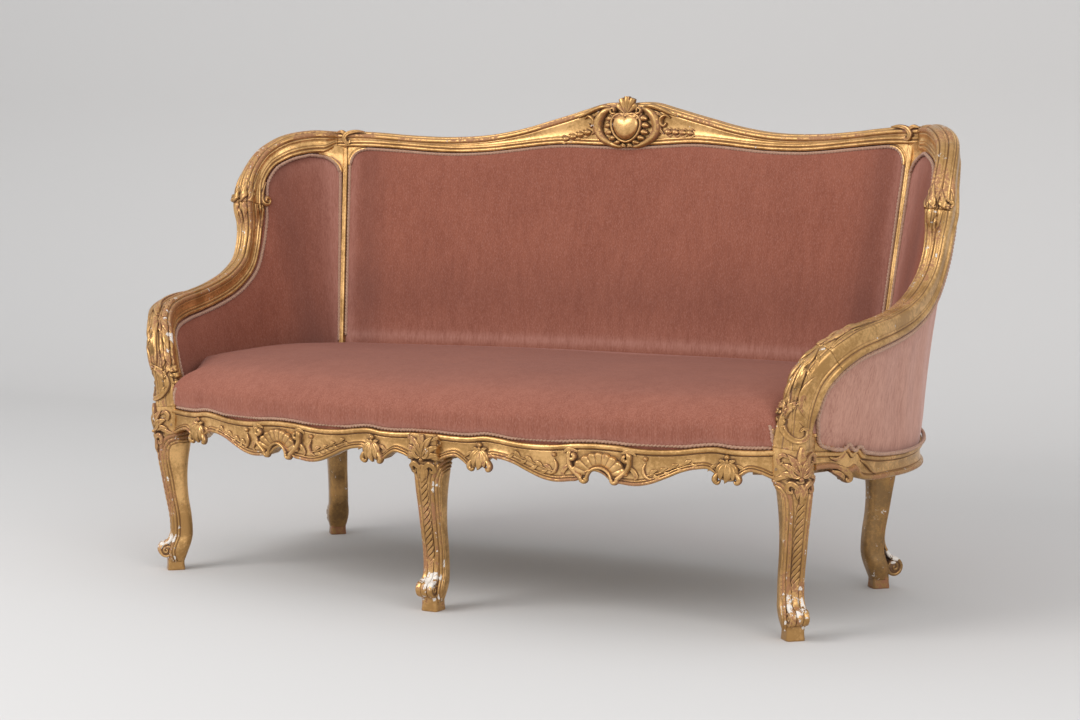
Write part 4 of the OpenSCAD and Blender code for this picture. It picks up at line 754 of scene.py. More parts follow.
def gilding_group():
    """Leaf over bole over gesso: grime and painted shade in the recesses, from a mask and from ambient occlusion,
    bole where the leaf is rubbed, gesso where it is chipped.
    """
    t, i, o = group("Gilding", {
        "Leaf": (0.5, 0.3, 0.1, 1), "Bright leaf": (0.8, 0.5, 0.2, 1), "Bole": (0.3, 0.1, 0.05, 1),
        "Gesso": (0.8, 0.75, 0.7, 1), "Grime": (0.08, 0.04, 0.02, 1), "Wear": 0.5, "Chips": 0.5,
    }, ("Color", "Metal", "Roughness", "Height"))
    at = t.place()
    grime_and_shade_mask, rub, bare_mask = t.mask("grime_and_shade_mask"), t.mask("rub"), t.mask("bare")
    broad, fine = t.noise(at, 16.0, 4.0), t.noise(at, 150.0, 4.0, 0.65)
    speck = t.noise(t.place((1, 1, 1.6)), 420.0, 2.0)
    patch, spot = t.band(broad, 0.36, 0.64), t.band(fine, 0.36, 0.64)
    tone = t.band(t.plus(t.times(broad, 0.6), t.times(fine, 0.4)), 0.4, 0.62)
    leaf = t.blend(tone, i["Leaf"], i["Bright leaf"])
    wear_and_sheen = t.plus(t.times(rub, 0.5), t.times(t.plus(patch, spot), 0.34))
    bole = t.band(t.plus(wear_and_sheen, t.times(i["Wear"], 0.5)), 0.84, 1.06)
    leaf = t.blend(t.times(bole, 0.82), leaf, i["Bole"])
    # Painted shade: ambient occlusion takes the leaf towards the grime tone in hollows and corners, together with the
    # mask's grime and painted shade
    near = t.add("ShaderNodeAmbientOcclusion", 1, {"samples": 8, "only_local": True}, Distance=0.014)
    grime_and_shade = t.math("MAXIMUM", t.band(near, 0.8, 0.34), t.band(grime_and_shade_mask, 0.3, 0.95, 0.0, 0.85))
    grime_and_shade = t.times(grime_and_shade, t.band(fine, 0.25, 0.6, 0.6, 1.0))
    leaf = t.blend(grime_and_shade, leaf, i["Grime"])
    chip = t.plus(t.noise(at, 55.0, 5.0, 0.7), t.times(bare_mask, 0.2))
    chip = t.band(t.plus(chip, t.times(i["Chips"], 0.1)), 0.735, 0.755)
    leaf = t.blend(chip, leaf, i["Gesso"])
    t.put(o["Color"], leaf)
    bare = t.math("MAXIMUM", chip, t.math("MAXIMUM", t.times(bole, 0.7), grime_and_shade))
    t.put(o["Metal"], t.band(bare, 0.0, 1.0, 0.75, 0.1))
    t.put(o["Roughness"], t.band(t.plus(bare, t.times(speck, 0.4)), 0.1, 1.2, 0.28, 0.74))
    t.put(o["Height"], t.plus(t.times(fine, 0.6), t.math("SUBTRACT", t.times(speck, 0.25), chip)))
    return t.tree


def pile_group():
    """Short velvet pile: fine upright streaks, small bruises and single tufts, paler where a mask holds wear and
    painted sheen, darker where a mask holds painted shade, as in a fold."""
    t, i, o = group("Pile", {
        "Deep": (0.2, 0.08, 0.06, 1), "Pale": (0.4, 0.2, 0.16, 1), "Worn": (0.5, 0.3, 0.28, 1),
        "Shade": (0.1, 0.05, 0.05, 1), "Fade": 0.3,
    })
    broad = t.noise(t.place((1, 1, 0.6)), 6.0, 4.0, 0.6)
    patch = t.noise(t.place((1, 1, 0.22)), 55.0, 4.0, 0.6)
    streak = t.noise(t.place((1, 1, 0.05)), 300.0, 3.0, 0.65)
    grain = t.noise(t.place((1, 1, 0.25)), 700.0, 2.0, 0.6)
    line = t.band(streak, 0.36, 0.64)
    tone = t.plus(t.times(t.band(patch, 0.35, 0.65), 0.3), t.times(line, 0.4))
    tone = t.plus(t.times(t.band(broad, 0.35, 0.65), 0.3), tone)
    base = t.blend(tone, i["Deep"], i["Pale"])
    base = t.blend(t.times(t.band(grain, 0.45, 0.7), 0.34), base, i["Worn"])
    base = t.blend(t.times(t.band(grain, 0.5, 0.3), 0.3), base, i["Deep"])
    # Paler towards the wear and sheen tone: the fade, and the wear and painted sheen of the mask
    wear_and_sheen = t.plus(i["Fade"], t.times(t.mask("rub"), 0.9))
    wear_and_sheen = t.times(wear_and_sheen, t.plus(t.times(line, 0.45), t.band(patch, 0.35, 0.65, 0.5, 0.7)))
    base = t.blend(wear_and_sheen, base, i["Worn"])
    # Painted shade: darker towards the shade tone where the mask says
    t.put(o["Color"], t.blend(t.times(t.mask("grime_and_shade_mask"), 0.6), base, i["Shade"]))
    t.put(o["Roughness"], t.band(streak, 0.3, 0.7, 0.85, 0.98))
    t.put(o["Height"], t.plus(t.times(streak, 0.6), t.times(grain, 0.8)))
    return t.tree


def yarn_group():
    """Two crossed sets of threads from waves over the surface, with uneven thickness."""
    t, i, o = group("Yarn", {
        "Thread": (0.5, 0.4, 0.3, 1), "Shadow": (0.2, 0.15, 0.1, 1), "Pitch": 900.0,
    })
    at = t.place()
    part = t.tree.nodes.new("ShaderNodeSeparateXYZ")
    t.put(part.inputs[0], at)
    wave = lambda s: t.math("ABSOLUTE", t.math("SINE", t.times(s, i["Pitch"])))
    x, y, z = part.outputs
    weave = t.times(wave(t.plus(x, y)), wave(t.plus(z, x)))
    slub = t.noise(at, 160.0, 3.0)
    tone = t.plus(t.times(weave, 0.6), t.times(slub, 0.6))
    t.put(o["Color"], t.blend(t.band(tone, 0.25, 0.8), i["Shadow"], i["Thread"]))
    t.put(o["Roughness"], t.band(slub, 0.3, 0.7, 0.8, 0.95))
    t.put(o["Height"], tone)
    return t.tree


def timber_group():
    """Plain beech: long grain along X and small flecks."""
    t, i, o = group("Timber", {
        "Pale wood": (0.5, 0.35, 0.2, 1), "Dark wood": (0.35, 0.2, 0.1, 1),
    })
    grain = t.noise(t.place((0.08, 1, 1)), 90.0, 4.0, 0.6)
    fleck = t.noise(t.place((0.4, 1, 1)), 420.0, 2.0)
    dark = t.band(t.plus(grain, t.times(fleck, 0.3)), 0.5, 0.8)
    t.put(o["Color"], t.blend(dark, i["Pale wood"], i["Dark wood"]))
    t.put(o["Roughness"], t.band(grain, 0.3, 0.7, 0.55, 0.75))
    t.put(o["Height"], t.plus(grain, fleck))
    return t.tree


def finish(name, tree, bump, distance, pattern, **values):
    """A material from a group: its outputs go to the Principled BSDF's sockets."""
    old = bpy.data.materials.get(name)
    if old:
        return old
    material = bpy.data.materials.new(name)
    material.use_nodes = True
    t = Tree(material.node_tree)
    shader = material.node_tree.nodes["Principled BSDF"]
    node = material.node_tree.nodes.new("ShaderNodeGroup")
    node.node_tree = tree
    for key, value in pattern.items():
        node.inputs[key].default_value = value if isinstance(value, float) else rgba(value)
    for socket, output in (("Base Color", "Color"), ("Roughness", "Roughness"), ("Metallic", "Metal")):
        if output in node.outputs:
            t.put(shader.inputs[socket], node.outputs[output])
    height = node.outputs["Height"]
    t.put(shader.inputs["Normal"], t.add("ShaderNodeBump", Strength=bump, Distance=distance, Height=height))
    for key, value in values.items():
        shader.inputs[key.replace("_", " ")].default_value = value
    return material


def materials():
    """Every finish of the sofa, made once from the colours in the panel."""
    c = bpy.context.scene.sofa_finish
    tree = lambda name, make: bpy.data.node_groups.get(name) or make()
    gilding, pile = tree("Gilding", gilding_group), tree("Pile", pile_group)
    yarn, timber = tree("Yarn", yarn_group), tree("Timber", timber_group)
    gold = {"Leaf": c.leaf, "Bright leaf": c.bright_leaf, "Bole": c.bole, "Gesso": c.gesso, "Grime": c.grime}
    dull = {**gold, "Leaf": c.dull_leaf, "Bright leaf": c.leaf}
    velvet = {"Deep": c.velvet_deep, "Pale": c.velvet_pale, "Worn": c.velvet_wear_and_sheen, "Shade": c.velvet_shade}
    faded = {**velvet, "Worn": c.velvet_faded, "Pale": c.velvet_wear_and_sheen}
    silk = {"Thread": c.gimp, "Shadow": c.gimp_shadow, "Pitch": 1800.0}
    jute = {"Thread": (0.36, 0.26, 0.15), "Shadow": (0.14, 0.09, 0.05), "Pitch": 1100.0}
    beech = {"Pale wood": (0.36, 0.22, 0.11), "Dark wood": (0.2, 0.11, 0.05)}
    cloth = {"Sheen_Tint": rgba(c.sheen), "Specular_IOR_Level": 0.2}
    thin, thick = {"Sheen_Weight": 0.09, "Sheen_Roughness": 0.45}, {"Sheen_Weight": 0.6, "Sheen_Roughness": 0.4}
    table = {
        "gilt": ("Burnished leaf", gilding, 0.35, 0.0006, {**gold, "Wear": c.wear, "Chips": 0.3}, {}),
        "worn_gilt": ("Rubbed leaf", gilding, 0.45, 0.0008, {**gold, "Wear": c.wear + 0.2, "Chips": 0.6}, {}),
        "dull_gilt": ("Toned leaf", gilding, 0.45, 0.0008, {**dull, "Wear": c.wear + 0.25, "Chips": 0.6}, {}),
        "velvet": ("Velvet", pile, 0.5, 0.0008, {**velvet, "Fade": 0.06}, {**thin, **cloth}),
        "outside_velvet": ("Faded velvet", pile, 0.5, 0.0008, {**faded, "Fade": 0.8}, {**thick, **cloth}),
        "gimp": ("Silk gimp", yarn, 0.4, 0.0005, silk, {"Sheen_Weight": 0.3}),
        "jute": ("Jute web", yarn, 0.8, 0.001, jute, {}),
        "beech": ("Old beech", timber, 0.3, 0.0005, beech, {}),
    }
    return {key: finish(*row, **values) for key, (*row, values) in table.items()}


# Frame pieces
def leg_skin(k, centre, turn, head_centre, top, columns):
    """Cabriole leg and its head: superellipses along the height, with outer, inner and half width from a
    table of shares, turned about the leg's line, and the rounded square of the head over them."""
    z = np.concatenate([np.linspace(top, 250, 104), np.linspace(248.5, 19, 110)])
    table = np.array(LEG)
    outer, inner, half = (graph(table[:, [0, i]], z / k.knee_h) * k.leg_width for i in (1, 2, 3))
    a = np.linspace(-np.pi, np.pi, 1441)
    lx = mix(inner[:, None], outer[:, None], (squared(np.cos(a), 0.65) + 1) / 2)
    ly = half[:, None] * squared(np.sin(a), 0.65)
    t = np.radians(turn)
    leg = np.stack([
        centre[0] + lx * np.cos(t) - ly * np.sin(t),
        centre[1] + lx * np.sin(t) + ly * np.cos(t),
    ], -1)
    head = head_centre + head_reach(k, a + t, t)[:, None] * np.stack([np.cos(a + t), np.sin(a + t)], -1)
    p = mix(leg, head[None], ease(*HEAD_Z, z)[:, None, None])
    step = np.linalg.norm(np.diff(p, axis=1), axis=2)
    length = np.concatenate([np.zeros((len(z), 1)), np.cumsum(step, 1)], 1)
    length /= length[:, -1:]
    even = np.arange(columns) / columns
    ring = np.stack([[np.interp(even, l, q[:, i]) for i in (0, 1)] for l, q in zip(length, p)]).transpose(0, 2, 1)
    return z, step.sum(1), np.concatenate([ring, np.broadcast_to(z[:, None, None], (*ring.shape[:2], 1))], 2)


def sweep_off(away, h, path):
    """Distance of each place from a path on the flat, positive on the side away from the middle line."""
    fine = spline(path, np.linspace(0, len(path) - 1, 160))
    run = unit(np.gradient(fine, axis=0))
    gap = np.stack([away[..., None] - fine[:, 0], h[..., None] - fine[:, 1]], -1)
    near = np.argmin(np.sum(gap**2, -1), -1)
    gap = np.take_along_axis(gap, near[..., None, None], 2)[..., 0, :]
    return gap[..., 0] * run[near, 1] - gap[..., 1] * run[near, 0]


def leg_reeds(h, a, top):
    """Relief and masks of a carved leg: three reeds that follow a path from the rail's foot down the edges,
    grooves beside them, and a crease below the head."""
    path = [
        [13, -20], [13, 60], [14, 120], [15.5, 180], [17, 230], [18.5, 258], [23, 280], [34, 296],
        [48, 303], [66, 307], [90, 308],
    ]
    away = np.abs(a)
    off = sweep_off(away, h, path)
    soft = ease(345, 322, h)
    beads = [(0, 4.2, 2.4, 1), (8.8, 3.7, 1.9, 0.8), (16, 2.6, 1.3, 0.6)]
    reeds = sum(v * roll(off, c, w) for c, w, v, r in beads)
    cuts = groove(off, -5.4, 1.3) + groove(off, 4.7, 0.9) + groove(off, 12.9, 1) + groove(off, 19.8, 1.1)
    relief = (reeds - 1.9 * cuts - (off < -6)) * (0.3 + 0.7 * soft) * ease(top, top - 14, h)
    crease = groove(h, 312 - 0.006 * a**2, 2.6) * ease(34, 20, away)
    rub = np.clip(sum(r * roll(off, c, w) for c, w, v, r in beads), 0, 1) * soft
    bare = 0.7 * rub * ease(120, 60, h) + 0.35 * rub
    return relief - 5.5 * crease, np.clip(np.maximum(cuts * soft, crease), 0, 1), rub, bare


def leg_piece(build, k, centre, turn, head_centre, top, mirror=False, carved=True):
    """Carves the leg: reeds that sweep from the rail's foot down the edges, a trail of leaves down the front,
    the palmette on the head, and the scroll foot."""
    z, girth, p = leg_skin(k, centre, turn, head_centre, top, 152 if carved else 96)
    n, m = p.shape[:2]
    skin = Skin(p)
    if np.sum(skin.n[n // 2, m // 2, :2] * [np.cos(np.radians(turn)), np.sin(np.radians(turn))]) < 0:
        skin.n *= -1
    a = (np.arange(m) / m - 0.5)[None] * girth[:, None]
    h = z[:, None] + 0 * a
    if carved:
        relief, grime_and_shade_mask, rub, bare = leg_reeds(h, a, top)
    else:
        edge = 0.155 * girth[:, None]
        cuts = groove(np.abs(a), edge, 1.3)
        relief, grime_and_shade_mask, rub, bare = -cuts, cuts * 0.6, 0.5 * groove(np.abs(a), edge + 5, 3), 0.2
    build.grid(p + skin.n * relief[..., None], mirror, grime_and_shade_mask, rub, bare)
    row = lambda up: np.interp(-up, -z, np.arange(n))
    column = lambda across, up: (across / np.interp(-up, -z, girth) + 0.5) * m
    carver = Carver(build, lambda x, up, d: skin.at(row(up), column(x, up), d), mirror)
    if carved:
        carver.palm(0, 314, [
            (0, 66, 9, 9), (24, 52, 8, 8), (50, 46, 7.5, 7), (76, 42, 6.5, 6), (12, 40, 4, 11), (37, 36, 3.5, 9),
        ])
        carver.rows(LEG_LEAVES)
        carver.bead(0, 312, 4.6, 9)
        carver.palm(0, 302, [(180, 38, 7, 7.5), (160, 30, 5, 6), (141, 22, 4, 5)])
        for up in np.arange(264, 84, -13.0):
            line = [[8.5, up + 12], [5.5, up + 7], [0, up], [-5.5, up - 7], [-8.5, up - 12]]
            carver.ridge(line, [0.8, 3.4, 4.4, 3.4, 0.8], [1.4, 3.6, 4.8, 3.6, 1.4], lift=-0.6)
    foot(build, centre, turn, mirror, *((1.0, 0.0) if carved else (1.22, 6.0)))


def strap(build, spot, path, near, far, half, mirror):
    """A carved strap: a rounded oblong carried along a path seen from the side, from near to far across and
    twice half thick; its upper end is narrower, where it grows out of the leg."""
    t = np.linspace(0, 1, 90)
    c = spline(path, t * (len(path) - 1))
    run = unit(np.gradient(c, axis=0))
    side = np.stack([-run[:, 1], run[:, 0]], -1)
    a = np.linspace(0, 2 * np.pi, 28, endpoint=False)
    flat = c[:, None] + side[:, None] * (along(half, t)[:, None] * squared(np.cos(a), 0.75))[..., None]
    outer = mix(near, far, mix(0.4, 1, ease(0, 0.26, t)))[:, None] if near * far > 0 else far + 0 * t[:, None]
    y = (near + outer) / 2 + (outer - near) / 2 * squared(np.sin(a), 0.5)
    edge = np.abs(np.sin(a)) ** 4
    crown = ease(40, 62, c[:, 1:]) * ease(96, 74, c[:, 1:])
    build.grid(spot(flat[..., 0], y, flat[..., 1]), mirror, 0.3 * edge, 0.6 - 0.4 * edge, 0.35 + 0.65 * crown)


def foot(build, centre, turn, mirror, size, out):
    """Scroll foot: three straps come down the leg's front and roll up into spirals about one axis, with a
    sunk core that shows between their turns, over a small block."""
    t = np.radians(turn)
    axis, across = np.array([np.cos(t), np.sin(t), 0]), np.array([-np.sin(t), np.cos(t), 0])
    origin = np.array([*centre, 0.0])
    spot = lambda x, side, up: origin + x[..., None] * axis + side[..., None] * across + up[..., None] * [0, 0, 1]
    path = np.array([
        [7, 118], [7.5, 98], [8.5, 82], [12.5, 68], [21, 60.5], [30, 57.5], [35.5, 48], [32.5, 37.5],
        [24, 32.5], [14.5, 35], [10.5, 44], [14, 52], [22, 53.5], [27.5, 49], [27, 43], [21.5, 41.5],
        [20, 46], [23, 47],
    ])
    half = np.array([0.6, 1.6, 2.4, 3, 3.2, 3.2, 3.1, 3, 3, 2.8, 2.7, 2.6, 2.5, 2.4, 2.3, 2.3, 2.2, 2])
    grown = ease(100, 66, path[:, 1:])
    path = path + grown * ((path - [22, 47]) * (size - 1) + [out, 0])
    half = half * mix(1, size, grown[:, 0])
    for side in (-1, 1):
        strap(build, spot, path, side * 7.2, side * 19.5, half, mirror)
    strap(build, spot, path + [1.2, 0.6], -6.6, 6.6, half, mirror)
    a = np.linspace(0, 2 * np.pi, 40, endpoint=False)
    r, y = np.array([[2, 11.8, 12.2, 12.2, 11.8, 2], [-17.6, -17.4, -16, 16, 17.4, 17.6]])[..., None]
    r = r * size
    build.grid(spot(22 + out + r * np.cos(a), y + 0 * a, 46.5 + r * np.sin(a)), mirror, 0.9)
    b = np.linspace(0, 2 * np.pi, 48, endpoint=False)
    square = 1 / (np.abs(np.cos(b)) ** 7 + np.abs(np.sin(b)) ** 7) ** (1 / 7)
    wide, levels = np.array([[12, 17.5, 19, 19, 18.2, 18, 17, 15], [0.4, 0, 0, 3, 12, 22, 36, 46]])[..., None]
    build.grid(spot(wide * square * np.cos(b), wide * square * np.sin(b), levels + 0 * b), mirror, 0.15, 0.6)


def stile(build, k, mirror):
    """Stile: a narrow fillet of two beads with a valley between, on a broader body, leaning back with height."""
    z = np.linspace(k.ledge_h - 10, k.crest_low + 8, 120)
    q = np.linspace(-1, 1, 17)
    bead_x, bead_y = q * k.fillet_w / 2, 0.8 - 3.4 * roll(q, 0, 1.02) + 1.1 * groove(q, 0, 0.16)
    section = np.concatenate([
        np.stack([bead_x, bead_y], -1),
        [[6, 4], [31.8, 29.8], [31.8, k.frame_t], [-12, k.frame_t], [-12, 35], [-6, 35], [-6, 4]],
    ])
    p = xyz(k.stile_x(z)[:, None] + section[:, 0], k.stile_y(z)[:, None] + section[:, 1], z[:, None])
    dark = np.concatenate([0.3 * groove(q, 0, 0.16) + 0.6 * np.abs(q) ** 10, np.full(7, 0.5)])
    build.grid(p, mirror, dark, 0.1)


def bowed(face):
    """Place function for a bowed face: X, height, and distance off the face line along its normal in plan."""
    def place(x, z, d):
        slope = (face(x + 1) - face(x - 1)) / 2
        out = unit(np.stack([slope, -1 + 0 * slope], -1))
        return xyz(x + out[..., 0] * d, face(x) + out[..., 1] * d, z)
    return place


def crest_place(k):
    """Maps the flat of the crest rail to its bowed face."""
    return bowed(lambda x: k.back_y(x, k.crest_low) - 4)


def down_face(height, n_top, n_field, n_low):
    """Distances down a rail's face from its top: close over its two beads, wider over the field between."""
    height = height[:, None]
    field = 12 + (height - 26) * np.arange(1, n_field) / n_field
    return np.concatenate([np.linspace(0, 12, n_top) + 0 * height, field, height - np.linspace(14, 0, n_low)], 1)


def front_rail(build, k, mirror):
    """Front rail: at each X a closed section of face, rounded foot, back, ledge and lip; the face carries a
    bead under the gimp, a hollow field and a double bead that follows the shaped lower edge."""
    x = np.linspace(22, k.post_x - 26, 480)
    top, low = k.front_top(x), k.front_low(x)
    a = down_face(top - low, 18, 23, 24)
    b = (top - low)[:, None] - a
    field = np.sin(np.pi * np.clip((a - 10) / ((top - low)[:, None] - 22), 0, 1))
    face = 4.2 * roll(a, 4.8, 5) - 2.6 * groove(a, 10.8, 1.2) - 2.4 * field + 4.4 * roll(b, 3.4, 3.6)
    face += 2.2 * roll(b, 9, 2.1) - 1.6 * groove(b, 12, 1) - 1.2 * groove(b, 7, 0.8)
    place = bowed(k.front_y)
    thick, lip, ledge = k.rail_thickness, k.lip_t, k.ledge_h + 0 * x
    rest = [
        xyz(x, k.front_y(x) + depth, z)[:, None] for depth, z in (
            (3, low - 0.6), (9, low + 0.3), (20, low + 1), (thick - 2, low + 1.5), (thick, low + 4), (thick, ledge),
            (lip, ledge), (lip, top), (2, top + 0.3))
    ]
    behind = np.zeros((len(x), len(rest)))
    dark = np.concatenate([groove(a, 10.8, 1.5) + groove(b, 12.2, 1.4) * 0.9 + groove(b, 6.9, 1.0), behind], 1)
    high = 0.05 * roll(a, 4.8, 5) + 0.95 * roll(b, 3.4, 4) + 0.7 * roll(b, 9, 2.5)
    high = np.concatenate([high, behind + 0.5], 1)
    front = place(x[:, None] + 0 * a, top[:, None] - a, face)
    build.grid(np.concatenate([front, *rest], 1), mirror, dark, high, 0.3 * high)
    carver = Carver(build, place, mirror, -1.5)
    for middle in HUSK_X:
        carver.bead(middle, 348, 5.5, 7.5)
        husk = [[middle, 342], [middle, 330], [middle, 316], [middle, 304]]
        carver.ridge(husk, [4, 13, 16, 8], [3, 6, 6, 3], "round", -2)
        carver.palm(middle, 338, [(180, 40, 8.5, 12), (156, 37, 7.5, 11), (132, 30, 6.5, 9)])
        carver.palm(middle, 332, [(0, 13, 3.5, 8), (52, 19, 4.5, 7)])
        carver.rows(HUSK_CURLS, middle)
    fan(build, place, SHELL_X, 295, mirror)
    arch = [[SHELL_X + 25 * np.sin(t), 293 + 24 * np.cos(t)] for t in np.radians(np.linspace(-95, 95, 13))]
    carver.ridge(arch, 3.6, 10, "round", -1)
    for side in (-93, 93):
        carver.bead(SHELL_X + side, 338, 5.2, 7.5)
    leaves = []
    for i, t in enumerate((0.08, 0.2, 0.32, 0.44, 0.56, 0.68, 0.8, 0.93)):
        turn, reach, root = 1 - 2 * (i % 2), 22 * (1 - 0.25 * t), spline(STEM, t * 3)
        tip = root + [reach * 0.9, turn * reach * 0.45 + 2]
        leaves.append(([root, mix(root, tip, 0.5) + [0, turn * 2], tip], [1, 4.6, 0.6], [2, 6.4, 2]))
    carver.rows([*SHELL_SCROLLS, *leaves], SHELL_X)


def fan(build, place, x, z, mirror, ribs=9, spread=82):
    """Shell: a polar grid whose ribs rise between furrows, with a scalloped rim that rolls outwards."""
    t = np.radians(np.linspace(-spread, spread, 19 * ribs))[:, None]
    q = np.linspace(0, 1, 34)[None]
    wave = np.abs(np.cos(t * ribs * 90 / spread))
    r = mix(24.0, 50 + 8 * np.abs(np.sin(t)) ** 3 + 3.0 * wave, q)
    d = 1.5 + 3.5 * np.sin(np.pi * q * 0.9) + 4.5 * wave * q**0.7 + 3.5 * ease(0.6, 0.95, q)
    d = d * np.sqrt(np.clip(1 - q**14, 0, 1)) * np.sqrt(np.clip(1 - np.abs(t / np.radians(spread + 2)) ** 10, 0, 1))
    flat_x, flat_z = x + r * np.sin(t), z + r * np.cos(t)
    front, back = place(flat_x, flat_z, d), place(flat_x, flat_z, 0 * d - 2.5)
    furrow = (1 - wave) ** 2 * ease(0.05, 0.3, q)
    dark, high = np.concatenate([furrow, 0.9 + 0 * furrow], 1), np.concatenate([0.6 * wave * q, 0 * furrow], 1)
    build.grid(np.concatenate([front, back[:, ::-1]], 1), mirror, dark, high)


def side_top(k, y):
    """Top edge of the side rail, with the carved twin peak near the front."""
    return k.side_top(y) + 11 * (groove(y, 104, 9) + groove(y, 138, 9))


def side_rail(build, k, mirror):
    """Side rail: the bowed plan line, with the same beads as the front, a dipped top and a carved notch."""
    s = np.linspace(0.05, 5.95, 520)
    line = k.side_at(s)
    y = line[:, 1]
    top = side_top(k, y)
    low = k.side_low(y) + 14 * groove(y, 132, 14) - 6 * groove(y, 96, 9)
    a = down_face(top - low, 16, 15, 20)
    b = (top - low)[:, None] - a
    field = np.sin(np.pi * np.clip((a - 10) / ((top - low)[:, None] - 22), 0, 1))
    face = 3.6 * roll(a, 4.6, 4.8) - 2.4 * groove(a, 10.4, 1.1) - 2.4 * field
    face += 5 * roll(b, 5, 5.2) - 1.8 * groove(b, 11.4, 1.2)
    out = unit(line - k.side_in(s, np.full(len(s), 1.0)))
    thick, lip, ledge = k.rail_thickness, k.lip_t, np.minimum(k.ledge_h, top + 20)
    rest = [
        np.concatenate([line - out * depth, z[:, None]], 1)[:, None] for depth, z in (
            (3, low - 0.5), (14, low + 0.5), (thick, low + 3), (thick, ledge), (lip, ledge), (lip, top),
            (2, top + 0.3))
    ]
    behind = np.zeros((len(s), len(rest)))
    dark = np.concatenate([groove(a, 10.4, 1.3) + 0.9 * groove(b, 11.4, 1.3), behind], 1)
    high = np.concatenate([0.3 * roll(a, 4.6, 4.8) + roll(b, 5, 6), behind + 0.5], 1)
    front = np.concatenate([line[:, None] + out[:, None] * face[..., None], (top[:, None] - a)[..., None]], 2)
    build.grid(np.concatenate([front, *rest], 1), mirror, dark, high)
    run = run_of(line)
    before = np.s_[: len(s) // 2]

    def place(x, z, d):
        g = np.interp(x, y[before], run[before])
        at = np.stack([np.interp(g, run, line[:, i]) for i in (0, 1)], -1)
        o = unit(np.stack([np.interp(g, run, out[:, i]) for i in (0, 1)], -1))
        return xyz(at[..., 0] + o[..., 0] * d, at[..., 1] + o[..., 1] * d, z)

    spandrel(build, outside_corner(k), mirror, (20.0, 16.0))
    Carver(build, place, mirror, -1).rows(NOTCH_LEAVES, sides=(1,))


def arm_carving(build, k, place, at, part, mirror):
    """Leaves and scrolls on one of the arm rails, placed by millimetres along it and along its section."""
    carver = Carver(build, place, mirror, -1)
    if part == "wing_rail":
        wing_volute(build, k, mirror)
    for line, *rest in ARM_LEAVES[part]:
        carver.ridge([[at(s) + sum(further), a] for s, a, *further in line], *rest)


def wing_volute(build, k, mirror):
    """Scroll at the wing's hollow: a bead that runs down the inner edge and rolls up over the velvet's border."""
    s = 5.78
    at, run, out, inn = k.rail_at(s), k.rail_run(s), k.rail_out(s), k.rail_in(s)
    half = float(k.rail_half(s))
    place = lambda x, h, d: at + x[..., None] * run + h[..., None] * inn - (d + half)[..., None] * out
    carver = Carver(build, place, mirror, 1, 10)
    line = [[-44, half - 3], [-30, half - 7], [-14, half - 11], *coil(0, half + 2, 13, 2.6, -90, 1.35, 20)]
    grow = np.linspace(0, 1, len(line))
    width = mix(1.6, 5.4, ease(0, 0.25, grow)) - 2 * ease(0.6, 1, grow)
    carver.ridge(line, width, mix(3, 11, ease(0, 0.3, grow)), "round")
    carver.bead(0, half + 2, 6.5, 9)


def moulding(foot=6):
    """Moulded section of the upper rails, from the inner velvet over the crown to the outer velvet: a rounded
    square in shares of the half width, its normals, and relief of beads, grooves and hollow fields along it."""
    fine = spline(SECTION, np.linspace(0, len(SECTION) - 1, 900))
    run = run_of(fine)
    share = np.linspace(0, 1, MOULD_COLUMNS)
    q = np.stack([np.interp(share, run / run[-1], fine[:, i]) for i in (0, 1)], -1)
    t = unit(np.gradient(q, axis=0))
    n = np.stack([-t[:, 1], t[:, 0]], -1)
    n *= np.sign(np.sum(n * q, -1, keepdims=True))
    a = share * MOULD_GIRTH
    beads = [
        (6, 3.6, 2.3), (13.6, 2.1, 1.0), (38.5, 4.8, 2.4), (50, 5.2, 2.2), (58, 2.2, 1.1), (66.5, 5, 2.2),
        (73.5, 1.8, 0.8), (116, 5, 3.2), (105.5, 1.7, 0.8),
    ]
    cuts = [
        (10.4, 1, 1.8), (16.6, 0.9, 1.4), (32.4, 1.1, 1.8), (44.2, 1.3, 2.8), (55.6, 0.8, 1.2), (61.3, 1.1, 2.2),
        (71.9, 0.8, 1.2), (76.4, 1, 1.8), (103.2, 0.9, 1.3), (109, 1.2, 2.4),
    ]
    rubbed = [(38.5, 5.5, 0.8), (50, 5.5, 0.7), (66.5, 5.5, 0.7), (58, 2.4, 0.6), (116, 4.6, 0.1), (6, 4, 0.2)]
    relief = sum(h * roll(a, c, w) for c, w, h in beads) - sum(h * groove(a, c, w) for c, w, h in cuts)
    relief -= sum(h * np.sin(np.pi * np.clip((a - c) / w, 0, 1)) for c, w, h in ((17, 15, 1.8), (78, 26, 1.3)))
    grime_and_shade_mask = np.clip(sum(min(1, h / 2) * groove(a, c, w * 1.35) for c, w, h in cuts), 0, 1)
    rub = sum(h * roll(a, c, w) for c, w, h in rubbed)
    q = np.concatenate([q, mix(q[-1:], q[:1], np.linspace(0, 1, foot + 2)[1:-1, None])])
    n = np.concatenate([n, np.tile([[0.0, 1.0]], (foot, 1))])
    pad = np.zeros(foot)
    return q, n, np.concatenate([relief, pad]), np.concatenate([grime_and_shade_mask, pad + 0.6]), np.concatenate([rub, pad])


def crest_ring(k, x):
    """The same moulding on the crest rail: its field stretches with the rail's height, its beads don't."""
    q, n, relief = moulding()[:3]
    x = np.asarray(x, float)
    low = k.crest_low_at(x)
    h = (k.crest_top_at(x) - low)[:, None]
    e = (1 - q[:, 1]) * 23
    z = np.where(e < 16, e, np.where(e < 30, 16 + (e - 16) / 14 * (h - 32), h - (46 - e)))
    depth = q[:, 0] * (k.frame_t + 4) / 2 + relief * n[:, 0]
    centre = xyz(x, k.back_y(x, k.crest_low, (k.frame_t - 4) / 2), low)
    away = k.crest_back(x)[:, None] * depth[None, :, None]
    return centre[:, None] + away + (z - relief * n[:, 1])[..., None] * [0, 0, 1]


